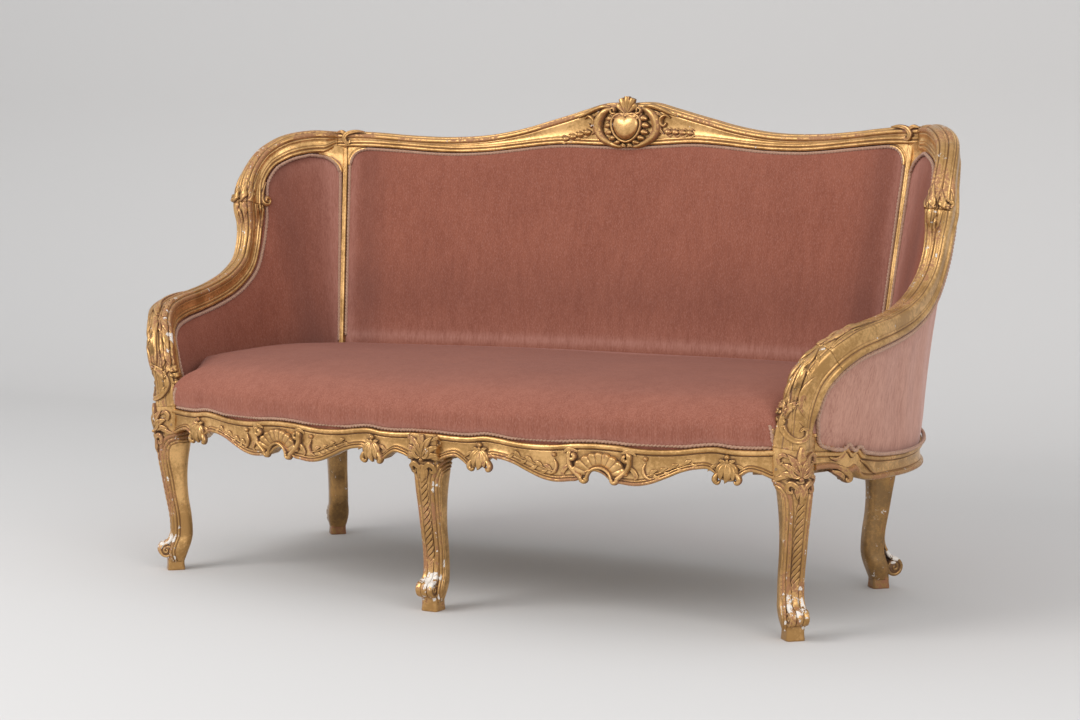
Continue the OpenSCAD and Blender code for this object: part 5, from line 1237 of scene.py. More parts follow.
def rail_ring(k, s):
    """Section of the arm rails at s; it starts as the crest rail's end and grows into the leg's head below."""
    q, n, relief = moulding()[:3]
    shape = k.rail_half(s)[:, None, None] * q + (relief[:, None] * n)[None]
    ring = k.rail_at(s)[:, None] + k.rail_out(s)[:, None] * shape[..., :1] + k.rail_in(s)[:, None] * shape[..., 1:]
    start = crest_ring(k, np.array([k.crest_end]))[0]
    moved = start[None] + (k.rail_at(s) - k.rail_at(0.0))[:, None]
    ring = mix(moved, ring, ease(0, 0.8, s)[:, None, None])
    off = ring[..., :2] - [k.post_x, k.post_y]
    angle = np.arctan2(off[..., 1], off[..., 0])
    reach = head_reach(k, angle, -np.pi / 4)
    square = np.stack([k.post_x + reach * np.cos(angle), k.post_y + reach * np.sin(angle)], -1)
    ring[..., :2] = mix(ring[..., :2], square, ease(17.0, 18.7, s)[:, None, None])
    return ring


def head_reach(k, angle, turn):
    """Outline of a leg's head in plan: a square that is rounded on its outer corner."""
    away = np.abs((angle - turn + np.pi) % (2 * np.pi) - np.pi)
    power = mix(9.0, 3.2, np.exp(-((away / 0.75) ** 2)) * (0 if abs(turn + np.pi / 2) < 0.1 else 1))
    c, s = np.abs(np.cos(angle)), np.abs(np.sin(angle))
    return (k.head_w / 2 + 0.6) / (c**power + s**power) ** (1 / power)


def rail_piece(build, k, start, end, mirror):
    """A length of the arm rails: the moulded section carried along the line. Gives back a way to place
    carving by millimetres along the rail and along its section, and the millimetres of a place s."""
    fine = np.linspace(start, end, 400)
    run = run_of(k.rail_at(fine))
    step = 2.1
    count = int(run[-1] / step) + 2
    s = np.interp(np.linspace(0, run[-1], count), run, fine)
    p = rail_ring(k, s)
    grime_and_shade_mask, rub = moulding()[3:]
    per_mm = (MOULD_COLUMNS - 1) / MOULD_GIRTH
    wear_and_sheen = groove(s, 15.9, 0.5)[:, None] * roll(np.arange(len(rub)) / per_mm, 41, 11)
    build.grid(p, mirror, grime_and_shade_mask, rub, 0.3 * rub + 0.95 * wear_and_sheen)
    skin = Skin(p)
    crown = MOULD_COLUMNS // 2
    if np.sum((skin.p[5, crown] - k.rail_at(s[5])) * skin.n[5, crown]) < 0:
        skin.n *= -1
    place = lambda x, a, d: skin.at(x / run[-1] * (count - 1), a * per_mm, d)
    return place, lambda at: float(np.interp(at, fine, run))


def arm_rail_piece(build, k, part, start, end, mirror):
    """One of the three arm rails with its carving."""
    place, at = rail_piece(build, k, start, end, mirror)
    arm_carving(build, k, place, at, part, mirror)


def crest_rail(build, k):
    """Crest rail: the moulding along the bowed line, and the gilt corners between it and the stiles."""
    grime_and_shade_mask, rub = moulding()[3:]
    build.grid(crest_ring(k, np.linspace(-k.crest_end, k.crest_end, 560)), False, grime_and_shade_mask, rub)
    end = k.crest_end - 34
    for mirror in (True, False):
        spandrel(build, back_corner(k), mirror)
        spandrel(build, wing_corner(k), mirror, (15.0, 30.0))
        carver = Carver(build, crest_place(k), mirror, 0, 3)
        carver.rows(CREST_LEAVES, end, float(k.crest_top_at(end)), (1,))


def back_corner(k):
    """Flat place on the back's face line by the right stile's top: across from the stile, down from the crest."""
    def place(across, down, d):
        z0 = k.crest_low
        x = k.stile_x(z0 - down) - k.fillet_w / 2 - across
        z = k.crest_low_at(x) - down
        return xyz(x, k.back_y(x, np.minimum(z, z0 + 20)) - d, z)
    return place


def wing_corner(k):
    """Flat place on the wing's face by the right stile's top: across from the stile, down from the rail."""
    def place(across, down, d):
        u, v = np.maximum(0, across) / WING_SPAN[0], np.maximum(0, down) / WING_SPAN[1]
        p = k.panel_at(u, v, k.inside_d) - k.panel_normal(u, v) * np.asarray(d, float)[..., None]
        return p + xyz(-np.maximum(0, -across), 0, np.maximum(0, -down))
    return place


def outside_corner(k):
    """Flat place on the outside arm by the right support's foot: across from the support, up from the rail."""
    def place(across, up, d):
        u, v = 1 - np.maximum(0, across) / FOOT_SPAN[0], 1 - np.maximum(0, up) / FOOT_SPAN[1]
        p = k.panel_at(u, v, k.outside_d, True) + k.panel_normal(u, v, True) * np.asarray(d, float)[..., None]
        return p + xyz(0, -np.maximum(0, -across), -np.maximum(0, -up))
    return place


def spandrel(build, place, mirror, reach=(9.0, 9.0)):
    """Gilt corner: a plate between a square corner and a quarter circle, with a bead along the circle."""
    t = np.radians(np.linspace(0.5, 89.5, 46))[:, None]
    c, s = np.cos(t), np.sin(t)
    far = np.minimum((CORNER_R + reach[0]) / c, (CORNER_R + reach[1]) / s)
    rad = mix(CORNER_R + 1, far, np.linspace(0, 1, 18))
    across, down = CORNER_R + 9 - rad * c, CORNER_R + 9 - rad * s
    from_arc = rad - CORNER_R - 1
    d = 3.0 + 2.6 * roll(from_arc, 3.2, 3.2) - 1.5 * groove(from_arc, 7.6, 1.1)
    build.slab(place(across, down, d), place(across, down, 0 * d - 5), mirror)


def cartouche(build, k):
    """Cartouche: a heart boss in its rim, lobes and broad scrolls beside it, a shell finial over it, husks out."""
    place = crest_place(k)
    middle, top = BOSS_Z, k.finial_h
    carver = Carver(build, place, False, 0, 3)
    ring = spline(np.concatenate([HEART[-1:], HEART, HEART[:2]]), np.linspace(1, len(HEART) + 1, 96, endpoint=False))
    q = np.linspace(0.01, 1, 26)[:, None, None]
    flat = np.concatenate([ring * q * 0.9, ring * np.array([0.98, 0.5])[:, None, None]])
    dome = 11 + 12 * np.sqrt(np.clip(1 - q[..., 0] ** 2.2, 0, 1))
    height = np.concatenate([dome, [[-2.0], [-2.0]]]) + 0 * flat[..., 0]
    build.grid(place(flat[..., 0], middle + flat[..., 1], height), rub=0.15)
    carver.ridge(np.concatenate([HEART, HEART[:1]]) * 1.04 + [0, middle], 3.4, 5, "round", 10, 10)
    carver.rows(BOSS_SCROLLS, 0, middle)
    for side, kind, drop in ((-1, "round", 5), (1, "reed", 1)):
        broad = (BROAD_SCROLL, [4, 8, 11, 12.5, 12, 10, 8, 6, 2], [8, 14, 16, 16, 14, 12, 10, 8, 4], kind)
        carver.rows([broad], 0, middle, (side,))
        for i in range(4):
            carver.rows([
                ([[-10, 2], [0, 0], [10, -1]], [3, 8.5 - 0.6 * i, 2], [5, 11 - i * 0.6, 4], "round", -1, 1.5),
                ([[-5, -6], [4, -9], [12, -6]], [1, 3, 0.8], [3, 6, 3], "leaf", -1, 1.5),
                ([[-5, 6], [4, 8], [12, 5]], [1, 2.6, 0.8], [3, 6, 3], "leaf", -1, 1.5),
            ], side * (106 + 19 * i), middle - 10 - drop * i, (side,))
    for angle, reach in ((0, 46), (-25, 45), (25, 45), (-51, 40), (51, 40)):
        t = np.radians(angle)
        d = np.array([np.sin(t) * 0.86, np.cos(t)])
        line = [[0, top - 45] + d * r for r in (3, 16, 30, reach - 3)]
        carver.ridge(line, [2, 5, 8.5, 7.5], [9, 10, 11, 9], "reed", 2, 9)
    carver.rows(FINIAL_LEAVES, 0, top)


# Upholstery
def seat_pad(build, k):
    """Seat: rings from the pad's outline in to its spine, each ring a share of the way in and of the crown,
    with one table for the free front edge and one for the sides that the arms and the back hide."""
    corner = k.post_x - k.head_w / 2 - 1
    columns, rings = 90, 90
    x = corner * np.linspace(0, 1, columns)
    front = np.stack([x, k.front_y(x) + k.lip_t + 0.6, 1 + 0 * x, 0 * x], -1)
    side = k.side_in(np.linspace(0.9, 5, 50), 19.5 - k.inside_d + k.arm_crown)
    side = np.concatenate([[[corner, k.post_y + k.head_w / 2 + 2, 0.6, 0]], np.pad(side, ((0, 0), (0, 2)))])
    x = (k.stile_low[0] - k.fillet_w - k.gimp_width) * np.linspace(1, 0, columns)
    back = np.stack([x, k.back_y(x, k.rail_top) + k.fillet_d - k.back_crown - 2, 0 * x, 1 + 0 * x], -1)
    half = np.concatenate([front, side, back])
    rim = np.concatenate([half, half[-2:0:-1] * [-1, 1, 1, 1]])
    free, behind = rim[None, :, 2], rim[None, :, 3]
    t = np.linspace(0, len(PAD_FREE) - 1, rings)
    share = mix(spline(PAD_TUCKED, t)[:, None], spline(PAD_FREE, t)[:, None], free[..., None])
    inwards, upwards = share[..., 0], share[..., 1]
    rise = upwards * k.seat_crown
    spine_y = k.leg_depth * 0.43
    spine = np.stack([np.clip(rim[:, 0], -k.post_x * 0.6, k.post_x * 0.6), 0 * rim[:, 0] + spine_y], -1)
    q = mix(rim[None, :, :2], spine[None], share[..., :1])
    lean = behind * rise * (k.stile_high[1] - k.stile_low[1]) / (k.crest_low - k.rail_top)
    wave = (k.front_top(np.clip(rim[:, 0], -corner, corner)) - k.rail_top) * free * ease(0.5, 0.1, upwards)
    p = xyz(q[..., 0], q[..., 1] + lean, k.ledge_h + 3 * k.web_t + rise + np.maximum(wave, -3.5))
    crown = np.clip((inwards - 0.05) / 0.95, 0, 1)
    p[..., 2] += 2 * np.sin(q[..., 0] / 95) * np.sin(q[..., 1] / 120 + 1) * swell(crown * 0.5, 2)
    under = mix(p[:1], p[:1] * [0, 0, 1] + [0, spine_y, 0], np.array([0.8, 0.4, 0.0])[:, None, None])
    line = groove(p[..., 1], k.stile_y(SEAT_LINE) - 30, 26) * ease(0.5, 0.9, upwards)
    # Paler: painted sheen along the free front edge, painted light on the strip just above the gimp where the bulge
    # shades it, and a paler line at the join with the back
    rub = (0.12 * ease(0.6, 0.1, inwards) + 0.4 * groove(upwards, 0.1, 0.07)) * free + 0.5 * line
    # Painted shade: darker where the sides tuck in under the arms and the back, and over the pad's top
    seat_shade = 0.5 * (1 - free) * ease(0.12, 0.0, inwards) + 0.3 * ease(0.72, 0.93, upwards) * (1 - line)
    masks = (np.pad(np.clip(mask, 0, 1), ((len(under), 0), (0, 0))) for mask in (seat_shade, rub))
    build.grid(np.concatenate([under, p]), False, *masks)


def back_pad(build, k):
    """Back: a sheet on the bowed face line between the stiles, crowned by a superellipse, and its ground."""
    u, v = np.meshgrid(np.linspace(-1, 1, 180), np.linspace(0, 1, 72), indexing="ij")
    z = mix(k.rail_top + 20, k.crest_low_at(u * k.stile_high[0]) - 1, v)
    x = u * (k.stile_x(z) - k.fillet_w / 2 - k.gap)
    crown = swell((u + 1) / 2, 4) * swell(v, 4)
    pull = 1.2 * np.sin(x / 61 + 1.3 * np.sin(x / 140)) * (1 - v) ** 2 * crown
    front = xyz(x, k.back_y(x, z, k.fillet_d) - k.back_crown * crown - pull, z)
    behind = xyz(x, k.back_y(x, z, 23.4), z)
    edge = k.stile_x(z) - k.fillet_w / 2 - np.abs(x)
    above = z - SEAT_LINE
    # Paler: painted sheen along the stiles, and paler just above the seat
    rub = 0.5 * groove(edge, 14, 14) + 0.6 * groove(above, 18, 12) + 0.12 * groove(above, 35, 40)
    # Painted shade: a band in from the stiles and a band over the lower back
    shade = 0.45 * groove(edge, 55, 40) + 0.3 * groove(above, 120, 75)
    build.slab(front, behind, False, shade, rub)


def tucked_in(p, by=4.5):
    """The sheet's edges along the rail and the support, moved on in their own direction into the rebate."""
    p[:, 0] += unit(p[:, 0] - p[:, 1]) * by
    p[-1] += unit(p[-1] - p[-2]) * by
    return p


def arm_pad(build, k, mirror):
    """Inside arm and wing: the panel between the rails, bulged along its normal, and its ground."""
    u, v = np.meshgrid(np.linspace(0, 1, 150), np.linspace(0, 1, 90), indexing="ij")
    front = k.layer_at(u, v, k.inside_d, -k.arm_crown)
    behind = k.layer_at(u, v, -k.web_t - 0.2, 0)
    # Paler: painted sheen along the stile, and a little along the rail
    rub = 0.7 * groove(u, 0.0, 0.09) + 0.2 * groove(v, 0.02, 0.05)
    # Painted shade: a band in from the stile, and low down towards the back
    shade = 0.5 * groove(u, 0.22, 0.12) + 0.5 * groove(v, 0.85, 0.2) * ease(0.9, 0.4, u)
    build.slab(tucked_in(front), tucked_in(behind), mirror, shade, rub)


def arm_outside(build, k, mirror):
    """Outside arm: a taut sheet on the same panel, 15 mm outwards, down to the side rail's top, its inner
    points evened out with their neighbours and its pulls laid over that."""
    u, v = np.meshgrid(np.linspace(0, 1, 120), np.linspace(0, 1, 70), indexing="ij")
    pull = 0.9 * np.sin(u * 46 + 2 * np.sin(u * 9)) * np.sin(np.pi * v) ** 0.7 * np.sin(np.pi * u) ** 0.5
    outer = k.layer_at(u, v, k.outside_d, k.arm_crown / 2, True)
    for _ in range(40):
        outer[1:-1, 1:-1] = (outer[:-2, 1:-1] + outer[2:, 1:-1] + outer[1:-1, :-2] + outer[1:-1, 2:]) / 4
    n = k.panel_normal(u, v, True)
    # Painted shade along the foot, over the side rail, and along the arm support
    shade = 0.35 * groove(v, 1, 0.06) + 0.25 * groove(u, 1, 0.03)
    build.slab(tucked_in(outer + n * pull[..., None]), tucked_in(outer - n * k.cover_t), mirror, shade)


def back_outside(build, k):
    """Outside back: a taut sheet over the back face of the frame."""
    u, v = np.meshgrid(np.linspace(-1, 1, 140), np.linspace(0, 1, 48), indexing="ij")
    z = mix(k.rail_top - 30, k.crest_low + 15, v)
    level = np.minimum(z, k.crest_low)
    inner, edge = k.stile_x(z) - 12, k.stile_x(z) + 30
    x = u * edge
    away = np.abs(x)
    beyond = np.clip((away - inner) / (edge - inner), 0, 1)

    def face(d):
        d = k.frame_t + k.gap + d
        over_stile = mix(k.back_y(inner, level, d), k.stile_y(z) + d, beyond)
        return xyz(x, np.where(away < inner, k.back_y(np.minimum(away, inner), level, d), over_stile), z)

    build.slab(face(0.0), face(k.cover_t))


def rope(build, k, path, lean, mirror=False, pitch=8.0, step=1.25, sides=12):
    """Gimp: a braid of two strands twisted round each other along a path; its section is a figure of eight
    that turns, a little flattened, with uneven loops."""
    fine = spline(path, np.linspace(0, len(path) - 1, len(path) * 24))
    run = run_of(fine)
    s = np.linspace(0, run[-1], int(run[-1] / step))
    c = np.stack([np.interp(s, run, fine[:, i]) for i in range(3)], -1)
    t = unit(np.gradient(c, axis=0))
    side = unit(np.cross(t, lean))
    up = np.cross(side, t)
    a = np.linspace(0, 2 * np.pi, sides, endpoint=False)
    wobble = 0.6 * np.sin(s / 23) + 0.4 * np.sin(s / 7.7)
    lobe = np.abs(np.cos(a - (np.pi * s / pitch + 0.5 * wobble)[:, None])) ** 0.8
    r = k.gimp_width / 2 * (0.55 + 0.45 * lobe) * (1 + 0.05 * wobble[:, None])
    p = c[:, None] + side[:, None] * (r * np.cos(a))[..., None] + up[:, None] * (r * np.sin(a))[..., None]
    build.grid(p, mirror, (1 - lobe) ** 2)


def seat_gimp_path(k):
    """Along the front rail's top, and up beside the supports at both ends."""
    end = k.post_x - k.head_w / 2 - 1
    x = end * np.linspace(-1, 1, 97)
    top = np.maximum(k.front_top(x), k.rail_top + 3 * ease(k.head_w * 1.1, k.head_w * 0.6, np.abs(x)))
    path = xyz(x, k.front_y(x) + k.lip_t / 2, top + k.gimp_width / 2 + 1.3)[1:-1]
    rise = np.array([[end + 1, -27, 369], [end + 2, -32, 381], [end + 1, -34, 398], [end - 4, -33, 411]])
    return np.concatenate([rise[::-1] * [-1, 1, 1], path, rise])


def round_corner(k, place, inset, longer, steps, heights):
    """Path of the gimp up beside the stile and round the gilt corner, on the flat of a place function."""
    low = k.ledge_h + 3 * k.web_t + k.seat_crown * 0.95
    start, end, degrees, count = steps
    down = np.linspace(k.crest_low - low + longer, CORNER_R + start, 6)
    t = np.radians(np.linspace(8, degrees, count))
    middle = CORNER_R + inset + 5
    r = middle - inset - end
    beside = place(inset + 0 * down, down, heights[0])
    return np.concatenate([beside, place(middle - r * np.cos(t), middle - r * np.sin(t), heights[1])])


def back_gimp_path(k):
    """Up the right stile, round its corner, along under the crest rail, and the same on the left."""
    inset = k.gimp_width / 2 + 0.6
    right = round_corner(k, back_corner(k), inset, 0, (14, 2, 82, 9), (1.0, 2.5))
    half = k.stile_x(k.crest_low) - k.fillet_w / 2 - (CORNER_R + inset + 5) - 4
    x = half * np.linspace(1, -1, 57)
    z = k.crest_low_at(x) - k.gimp_width / 2 - 1.3
    return np.concatenate([right, xyz(x, k.back_y(x, z) - 2, z), (right * [-1, 1, 1])[::-1]])


def gimp_beside(k, s, d, lift):
    """Path of the gimp on a face of the arm panel, along the rail."""
    start = 0.25
    u = np.minimum(0.93, (s - start) / (ARM_END - start))
    v = np.maximum(0.05, (s - ARM_END) / (RAIL_END - ARM_END))
    n = k.panel_normal(u, v)
    m = k.gimp_width / 2 + 1.3
    dot = lambda a, b: np.sum(a * b, -1)
    off = np.sign(d) * (k.gimp_width / 2 + k.gap + lift)
    return k.beside(s, m, d + (off - (m - 3) * dot(n, k.rail_in(s))) / dot(n, k.rail_out(s)))


def arm_gimp_paths(k):
    """Paths inside, up the stile and down along the rail, and outside, all round the taut cover."""
    inside = np.concatenate([
        round_corner(k, wing_corner(k), k.gimp_width / 2 + 1.5, 8, (16, 2, 78, 8), (4.6, 6.5)),
        gimp_beside(k, np.linspace(1.45, 18.3, 58), k.inside_d, 3.5),
    ])
    f = k.side_in(np.linspace(0.55, 5.4, 60), k.cover_t - k.gimp_width / 2 - 4.3)
    low = xyz(f[:, 0], f[:, 1], side_top(k, f[:, 1]) + k.gimp_width / 2 + k.gap)
    z = mix(k.rail_top + k.gimp_width, k.crest_low - k.gimp_width * 2, np.arange(5) / 4)
    post = xyz(k.stile_x(z) + 32 + k.gimp_width / 2 + 3.8, k.stile_y(z) + 32 - k.gimp_width / 2, z)
    t = np.radians(np.linspace(12, 72, 7))
    turn = outside_corner(k)(CORNER_R + 5 - CORNER_R * np.cos(t), CORNER_R + 3 - CORNER_R * np.sin(t), 4.6)
    outside = np.concatenate([gimp_beside(k, np.linspace(0.7, 17.6, 60), k.outside_d, 3.5), turn, low, post])
    return {"inside": inside, "outside": outside}


# Settings that a user changes
def number(name, text, value, **more):
    """A plain number in the panel."""
    return bpy.props.FloatProperty(name=name, description=text, default=value, min=0.0, **more)


def length(name, text, value):
    """A length in the panel, in metres."""
    return number(name, text, value, max=3.0, unit="LENGTH", subtype="DISTANCE")


def colour(name, text, value):
    """A colour in the panel."""
    return bpy.props.FloatVectorProperty(
        name=name, description=text, default=value, min=0.0, max=1.0, size=3, subtype="COLOR",
    )


class SofaFrame(bpy.types.PropertyGroup):
    """Sizes of the gilt frame."""

    front_span: length("Front span", "Distance between the centres of the front corner legs", 1.49)
    back_span: length("Back span", "Distance between the centres of the back feet", 1.404)
    leg_depth: length("Depth", "Distance from the front corner feet back to the back feet", 0.565)
    back_height: length("Back height", "Height of the crest rail over its ends", 0.97)
    finial_rise: length("Finial rise", "Rise of the shell finial over the crest rail's ends", 0.09)
    rail_top: length("Rail height", "Height of the seat rails' moulded top edge", 0.36)
    front_bow: length("Front bow", "Forward bow of the front rail in plan", 0.105)
    side_bow: length("Side bow", "Outward bow of the side rails in plan", 0.126)
    rail_thickness: length("Rail thickness", "Thickness of the seat rails", 0.032)
    apron_drop: length("Apron drop", "Depth of the shaped apron below the rail's top edge", 0.075)
    back_bow: length("Back bow", "Backward bow of the crest rail in plan", 0.105)
    stile_span: length("Stile span", "Distance between the gilt fillets at the crest rail", 1.458)
    back_lean: length("Back lean", "Distance that the stiles lean back", 0.092)
    arm_width: length("Arm width", "Width of the arm and wing rails", 0.046)
    arm_flare: length("Arm flare", "How far the arms flare out beyond the front legs", 0.13)
    leg_width: length("Leg width", "Width of a leg at half its height", 0.046)


class SofaUpholstery(bpy.types.PropertyGroup):
    """Sizes of the seat, the back, the arms and their gimp."""

    seat_crown: length("Seat crown", "Height of the seat's crown above its platform", 0.13)
    back_crown: length("Back crown", "Fullness of the inside back", 0.014)
    arm_crown: length("Arm crown", "Fullness of the inside arms", 0.01)
    gimp_width: length("Gimp width", "Width of the gimp", 0.008)


class SofaFinish(bpy.types.PropertyGroup):
    """Colours of the gilding, the velvet and the gimp."""

    leaf: colour("Leaf", "Toned gold leaf", (0.43, 0.235, 0.08))
    dull_leaf: colour("Dull leaf", "Gold leaf on the back legs", (0.25, 0.145, 0.06))
    bright_leaf: colour("Bright leaf", "Burnished gold leaf", (0.78, 0.465, 0.185))
    bole: colour("Bole", "Red clay under the leaf", (0.27, 0.105, 0.048))
    gesso: colour("Gesso", "Chalk ground where the leaf is chipped", (0.75, 0.69, 0.62))
    # Grime and painted shade: the tone that the leaf takes in its hollows, from grime and from ambient occlusion
    grime: colour("Grime", "Old dirt in the recesses", (0.13, 0.06, 0.03))
    wear: number("Wear", "How far the leaf is rubbed to the bole", 0.25, max=1.0, subtype="FACTOR")
    velvet_deep: colour("Velvet shade", "Deep tone of the velvet", (0.2, 0.058, 0.033))
    velvet_pale: colour("Velvet", "Main tone of the velvet", (0.272, 0.088, 0.052))
    # Tone of wear and of painted sheen on the inside velvet, and the main tone of the outside velvet
    velvet_wear_and_sheen: colour("Velvet wear", "Tone of the worn pile", (0.42, 0.2, 0.155))
    velvet_faded: colour("Faded velvet", "Tone of the sun-faded pile outside", (0.53, 0.285, 0.21))
    # Painted shade: the tone of the velvet in folds, along tucked edges and over the seat's top
    velvet_shade: colour("Velvet fold", "Tone of the pile in the folds", (0.1, 0.045, 0.038))
    sheen: colour("Sheen", "Tint of the light on the pile", (0.8, 0.62, 0.6))
    gimp: colour("Gimp", "Main tone of the gimp", (0.5, 0.3, 0.2))
    gimp_shadow: colour("Gimp shade", "Tone between the gimp's strands", (0.26, 0.13, 0.08))


class SofaStage(bpy.types.PropertyGroup):
    """Camera, floor and light."""

    floor: colour("Floor", "Tone of the floor and the backdrop", (0.6, 0.585, 0.57))
    light: number("Light", "Strength of the soft key light", 52.0)
    sky: number("Sky", "Strength of the even light from all sides", 0.95)


# Steps that build the sofa
def lines():
    """The shared lines at the panel's sizes."""
    return Lines(bpy.context.scene.sofa_frame, bpy.context.scene.sofa_upholstery)


def piece(k, name, look, replaced, fill, *values, slot="gilt_wood", merge=0.0):
    """Fills a new mesh by a function with its values, and makes the object in one of the finishes."""
    build = Build(k)
    fill(build, k, *values)
    return build.made(name, materials()[look], replaced, slot, merge)


class SOFA_OT_legs(bpy.types.Operator):
    """Carved front legs with their heads, and the back posts with their stiles"""

    bl_idname = "sofa.legs"
    bl_label = "Legs and back posts"

    def execute(self, context):
        k = lines()
        front = ((k.post_x, 0), -45, (k.post_x, k.post_y), k.head_top - 1)
        middle = ((0, k.middle_y + 8), -90, (0, k.middle_y), k.rail_top + 3)
        head = (k.back_half - 2, k.stile_y(k.rail_top - 30) + k.frame_t - k.head_w / 2)
        back = ((k.back_half, k.leg_depth), 45, head, k.ledge_h)
        for name, mirror in SIDES:
            piece(k, "front_leg_carved_" + name, "worn_gilt", ["front_leg_" + name], leg_piece, *front, mirror)
        piece(k, "middle_leg_carved", "worn_gilt", ["front_leg_middle"], leg_piece, *middle)
        for name, mirror in SIDES:
            piece(k, "back_post_carved_" + name, "dull_gilt", ["back_post_" + name], leg_piece, *back, mirror, False)
            piece(k, "stile_carved_" + name, "gilt", (), stile, mirror)
        return {"FINISHED"}


class SOFA_OT_seat_rails(bpy.types.Operator):
    """Front rails with their carved aprons, and the bowed side rails"""

    bl_idname = "sofa.seat_rails"
    bl_label = "Seat rails"

    def execute(self, context):
        k = lines()
        for name, mirror in SIDES:
            piece(k, "front_rail_carved_" + name, "gilt", ["front_rail_" + name], front_rail, mirror)
            piece(k, "side_rail_carved_" + name, "worn_gilt", ["side_rail_" + name], side_rail, mirror)
        return {"FINISHED"}


class SOFA_OT_arms(bpy.types.Operator):
    """Arm supports, arm rails and wing rails in one moulded line, with their leaves and scrolls"""

    bl_idname = "sofa.arms"
    bl_label = "Arms and wings"

    def execute(self, context):
        k, gap = lines(), 0.003
        for name, mirror in SIDES:
            for part, start, end in (
                ("arm_support", ARM_END + gap, 18.85),
                ("arm_rail", WING_END + gap, ARM_END - gap),
                ("wing_rail", 0.0, WING_END - gap),
            ):
                values = (arm_rail_piece, part, start, end, mirror)
                piece(k, f"{part}_carved_{name}", "worn_gilt", [f"{part}_{name}"], *values)
        return {"FINISHED"}


class SOFA_OT_crest(bpy.types.Operator):
    """Crest rail and the cartouche with its shell"""

    bl_idname = "sofa.crest"
    bl_label = "Crest rail and cartouche"

    def execute(self, context):
        k = lines()
        piece(k, "crest_rail_carved", "worn_gilt", ["crest_rail"], crest_rail)
        piece(k, "cartouche_carved", "worn_gilt", ["crest_cartouche"], cartouche)
        return {"FINISHED"}


class SOFA_OT_upholstery(bpy.types.Operator):
    """Velvet seat, back and arms, inside and outside"""

    bl_idname = "sofa.upholstery"
    bl_label = "Upholstery"

    def execute(self, context):
        k = lines()
        cover = lambda *values, **more: piece(k, *values, slot="velvet", **more)
        seat = cover("seat", "velvet", ["seat_cover", "seat_stuffing"], seat_pad, merge=0.02)
        back = cover("inside_back", "velvet", ["back_cover_inside", "back_stuffing"], back_pad)
        back = cover("outside_back", "outside_velvet", ["back_cover_outside"], back_outside)
        for name, mirror in SIDES:
            under = ["arm_cover_inside_" + name, "arm_stuffing_" + name]
            cover("inside_arm_" + name, "velvet", under, arm_pad, mirror)
            arm = cover("outside_arm_" + name, "outside_velvet", ["arm_cover_outside_" + name], arm_outside, mirror)
        return {"FINISHED"}


class SOFA_OT_gimp(bpy.types.Operator):
    """Twisted gimp along every border of velvet and gilding"""

    bl_idname = "sofa.gimp"
    bl_label = "Gimp"

    def execute(self, context):
        k = lines()
        cord = lambda name, replaced, *rest: piece(k, name, "gimp", [replaced], rope, *rest, slot="braid")
        cord("seat_gimp_twisted", "seat_gimp", seat_gimp_path(k), (0, 0, 1))
        cord("back_gimp_twisted", "back_gimp", back_gimp_path(k), (0, 1, 0))
        for name, mirror in SIDES:
            for word, path in arm_gimp_paths(k).items():
                cord(f"arm_gimp_{word}_twisted_{name}", f"arm_gimp_{word}_{name}", path, (1, 0.2, 0.1), mirror)
        return {"FINISHED"}


class SOFA_OT_carcase(bpy.types.Operator):
    """Finishes for the hidden timbers and the webbing that stay as they are"""

    bl_idname = "sofa.carcase"
    bl_label = "Hidden frame"

    def execute(self, context):
        m = materials()
        for name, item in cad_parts.items():
            kind = "jute" if "web" in name or "hessian" in name else "beech"
            for slot in item.material_slots:
                slot.material = m[kind]
        return {"FINISHED"}


def stage_paper(tone):
    """Plain paper that can't be seen from behind, so that a camera behind it looks through."""
    material = bpy.data.materials.new("Stage paper")
    material.use_nodes = True
    t = Tree(material.node_tree)
    nodes = material.node_tree.nodes
    shader = nodes["Principled BSDF"]
    shader.inputs["Base Color"].default_value = rgba(tone)
    shader.inputs["Roughness"].default_value = 0.9
    behind = t.add("ShaderNodeNewGeometry", "Backfacing")
    clear = t.add("ShaderNodeBsdfTransparent")
    t.put(nodes["Material Output"].inputs[0], t.add("ShaderNodeMixShader", n0=behind, n1=shader.outputs[0], n2=clear))
    return material


def paper_sheet(material):
    """Floor that runs up into a backdrop along a quarter circle."""
    t = np.linspace(0, np.pi / 2, 24)
    bend = np.stack([2.2 + 1.2 * np.sin(t), 1.2 - 1.2 * np.cos(t)], -1)
    line = np.concatenate([[[-9, 0], [-3, 0], [1.2, 0]], bend, [[3.4, 6]]])
    points = xyz(np.linspace(-9, 9, 3)[:, None], line[:, 0], line[:, 1]).reshape(-1, 3)
    n = len(line)
    faces = [(i + j, i + n + j, i + n + j + 1, i + j + 1) for i in (0, n) for j in range(n - 1)]
    mesh = bpy.data.meshes.new("floor")
    mesh.from_pydata(points.tolist(), [], faces)
    mesh.polygons.foreach_set("use_smooth", np.ones(len(faces), bool))
    mesh.materials.append(material)
    return mesh


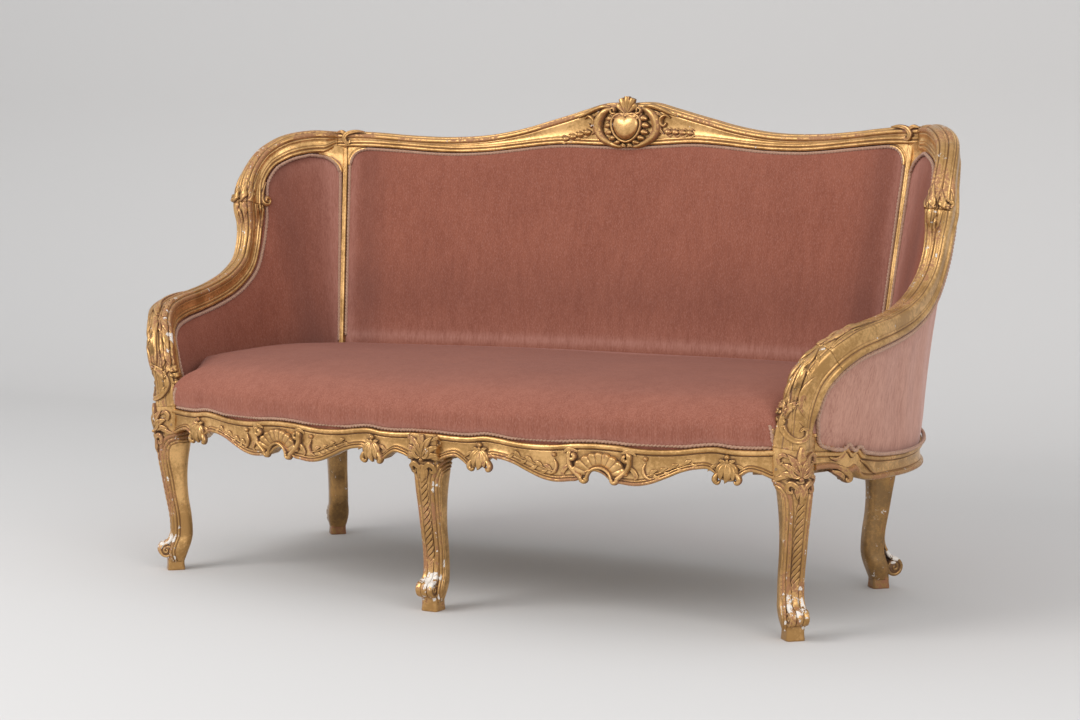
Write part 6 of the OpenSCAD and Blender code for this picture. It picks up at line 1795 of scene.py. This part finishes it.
class SOFA_OT_stage(bpy.types.Operator):
    """Floor with its backdrop, soft light and the camera"""

    bl_idname = "sofa.stage"
    bl_label = "Stage"

    def execute(self, context):
        scene, p = context.scene, context.scene.sofa_stage
        put = lambda name, data: bpy.data.objects.new(name, data)
        floor = put("floor", paper_sheet(stage_paper(p.floor)))
        camera = put("camera", bpy.data.cameras.new("camera"))
        camera.data.lens, camera.data.sensor_width = LENS, SENSOR
        camera.data.shift_x, camera.data.shift_y = LENS_SHIFT
        camera.location, camera.rotation_euler = CAMERA_AT, CAMERA_TURN
        lamps = []
        for name, place, turn, size, share in LAMPS:
            lamp = put(name, bpy.data.lights.new(name, "AREA"))
            lamp.data.energy, lamp.data.shape, lamp.data.size = p.light * share, "SQUARE", size
            lamp.location, lamp.rotation_euler = place, turn
            lamps.append(lamp)
        for item in (floor, *lamps, camera):
            scene.collection.objects.link(item)
        floor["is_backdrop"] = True
        scene.camera = camera
        scene.world = bpy.data.worlds.new("Studio")
        scene.world.use_nodes = True
        sky = scene.world.node_tree.nodes["Background"].inputs
        sky[0].default_value, sky[1].default_value = rgba(SKY_TINT), p.sky
        scene.view_settings.view_transform = "Standard"
        return {"FINISHED"}


PARTS = (
    SOFA_OT_legs, SOFA_OT_seat_rails, SOFA_OT_arms, SOFA_OT_crest, SOFA_OT_upholstery, SOFA_OT_gimp,
    SOFA_OT_carcase, SOFA_OT_stage,
)
SETTINGS = {
    "sofa_frame": SofaFrame, "sofa_upholstery": SofaUpholstery, "sofa_finish": SofaFinish, "sofa_stage": SofaStage,
}


class SOFA_PT_panel(bpy.types.Panel):
    """Lists the sofa's parts and settings"""

    bl_idname = "SOFA_PT_panel"
    bl_label = "Cabriole sofa"
    bl_space_type = "VIEW_3D"
    bl_region_type = "UI"
    bl_category = "Sofa"

    def draw(self, context):
        for part in PARTS:
            self.layout.operator(part.bl_idname)
        for name in SETTINGS:
            box = self.layout.box()
            values = getattr(context.scene, name)
            for key in values.__annotations__:
                box.prop(values, key)


def register():
    """Adds the classes, and the settings to the scene."""
    for kind in (*SETTINGS.values(), *PARTS, SOFA_PT_panel):
        bpy.utils.register_class(kind)
    for name, kind in SETTINGS.items():
        setattr(bpy.types.Scene, name, bpy.props.PointerProperty(type=kind))


def unregister():
    """Takes the settings and the classes away again."""
    for name in SETTINGS:
        delattr(bpy.types.Scene, name)
    for kind in (SOFA_PT_panel, *PARTS[::-1], *SETTINGS.values()):
        bpy.utils.unregister_class(kind)


def main():
    """Registers the add-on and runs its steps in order."""
    register()
    bpy.ops.sofa.legs()
    bpy.ops.sofa.seat_rails()
    bpy.ops.sofa.arms()
    bpy.ops.sofa.crest()
    bpy.ops.sofa.upholstery()
    bpy.ops.sofa.gimp()
    bpy.ops.sofa.carcase()
    bpy.ops.sofa.stage()
    plain = lambda box: [[float(v) for v in corner] for corner in box]
    {"cad": plain(CAD_BOX), "visual": plain(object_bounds())}


if __name__ == "__main__":
    main()
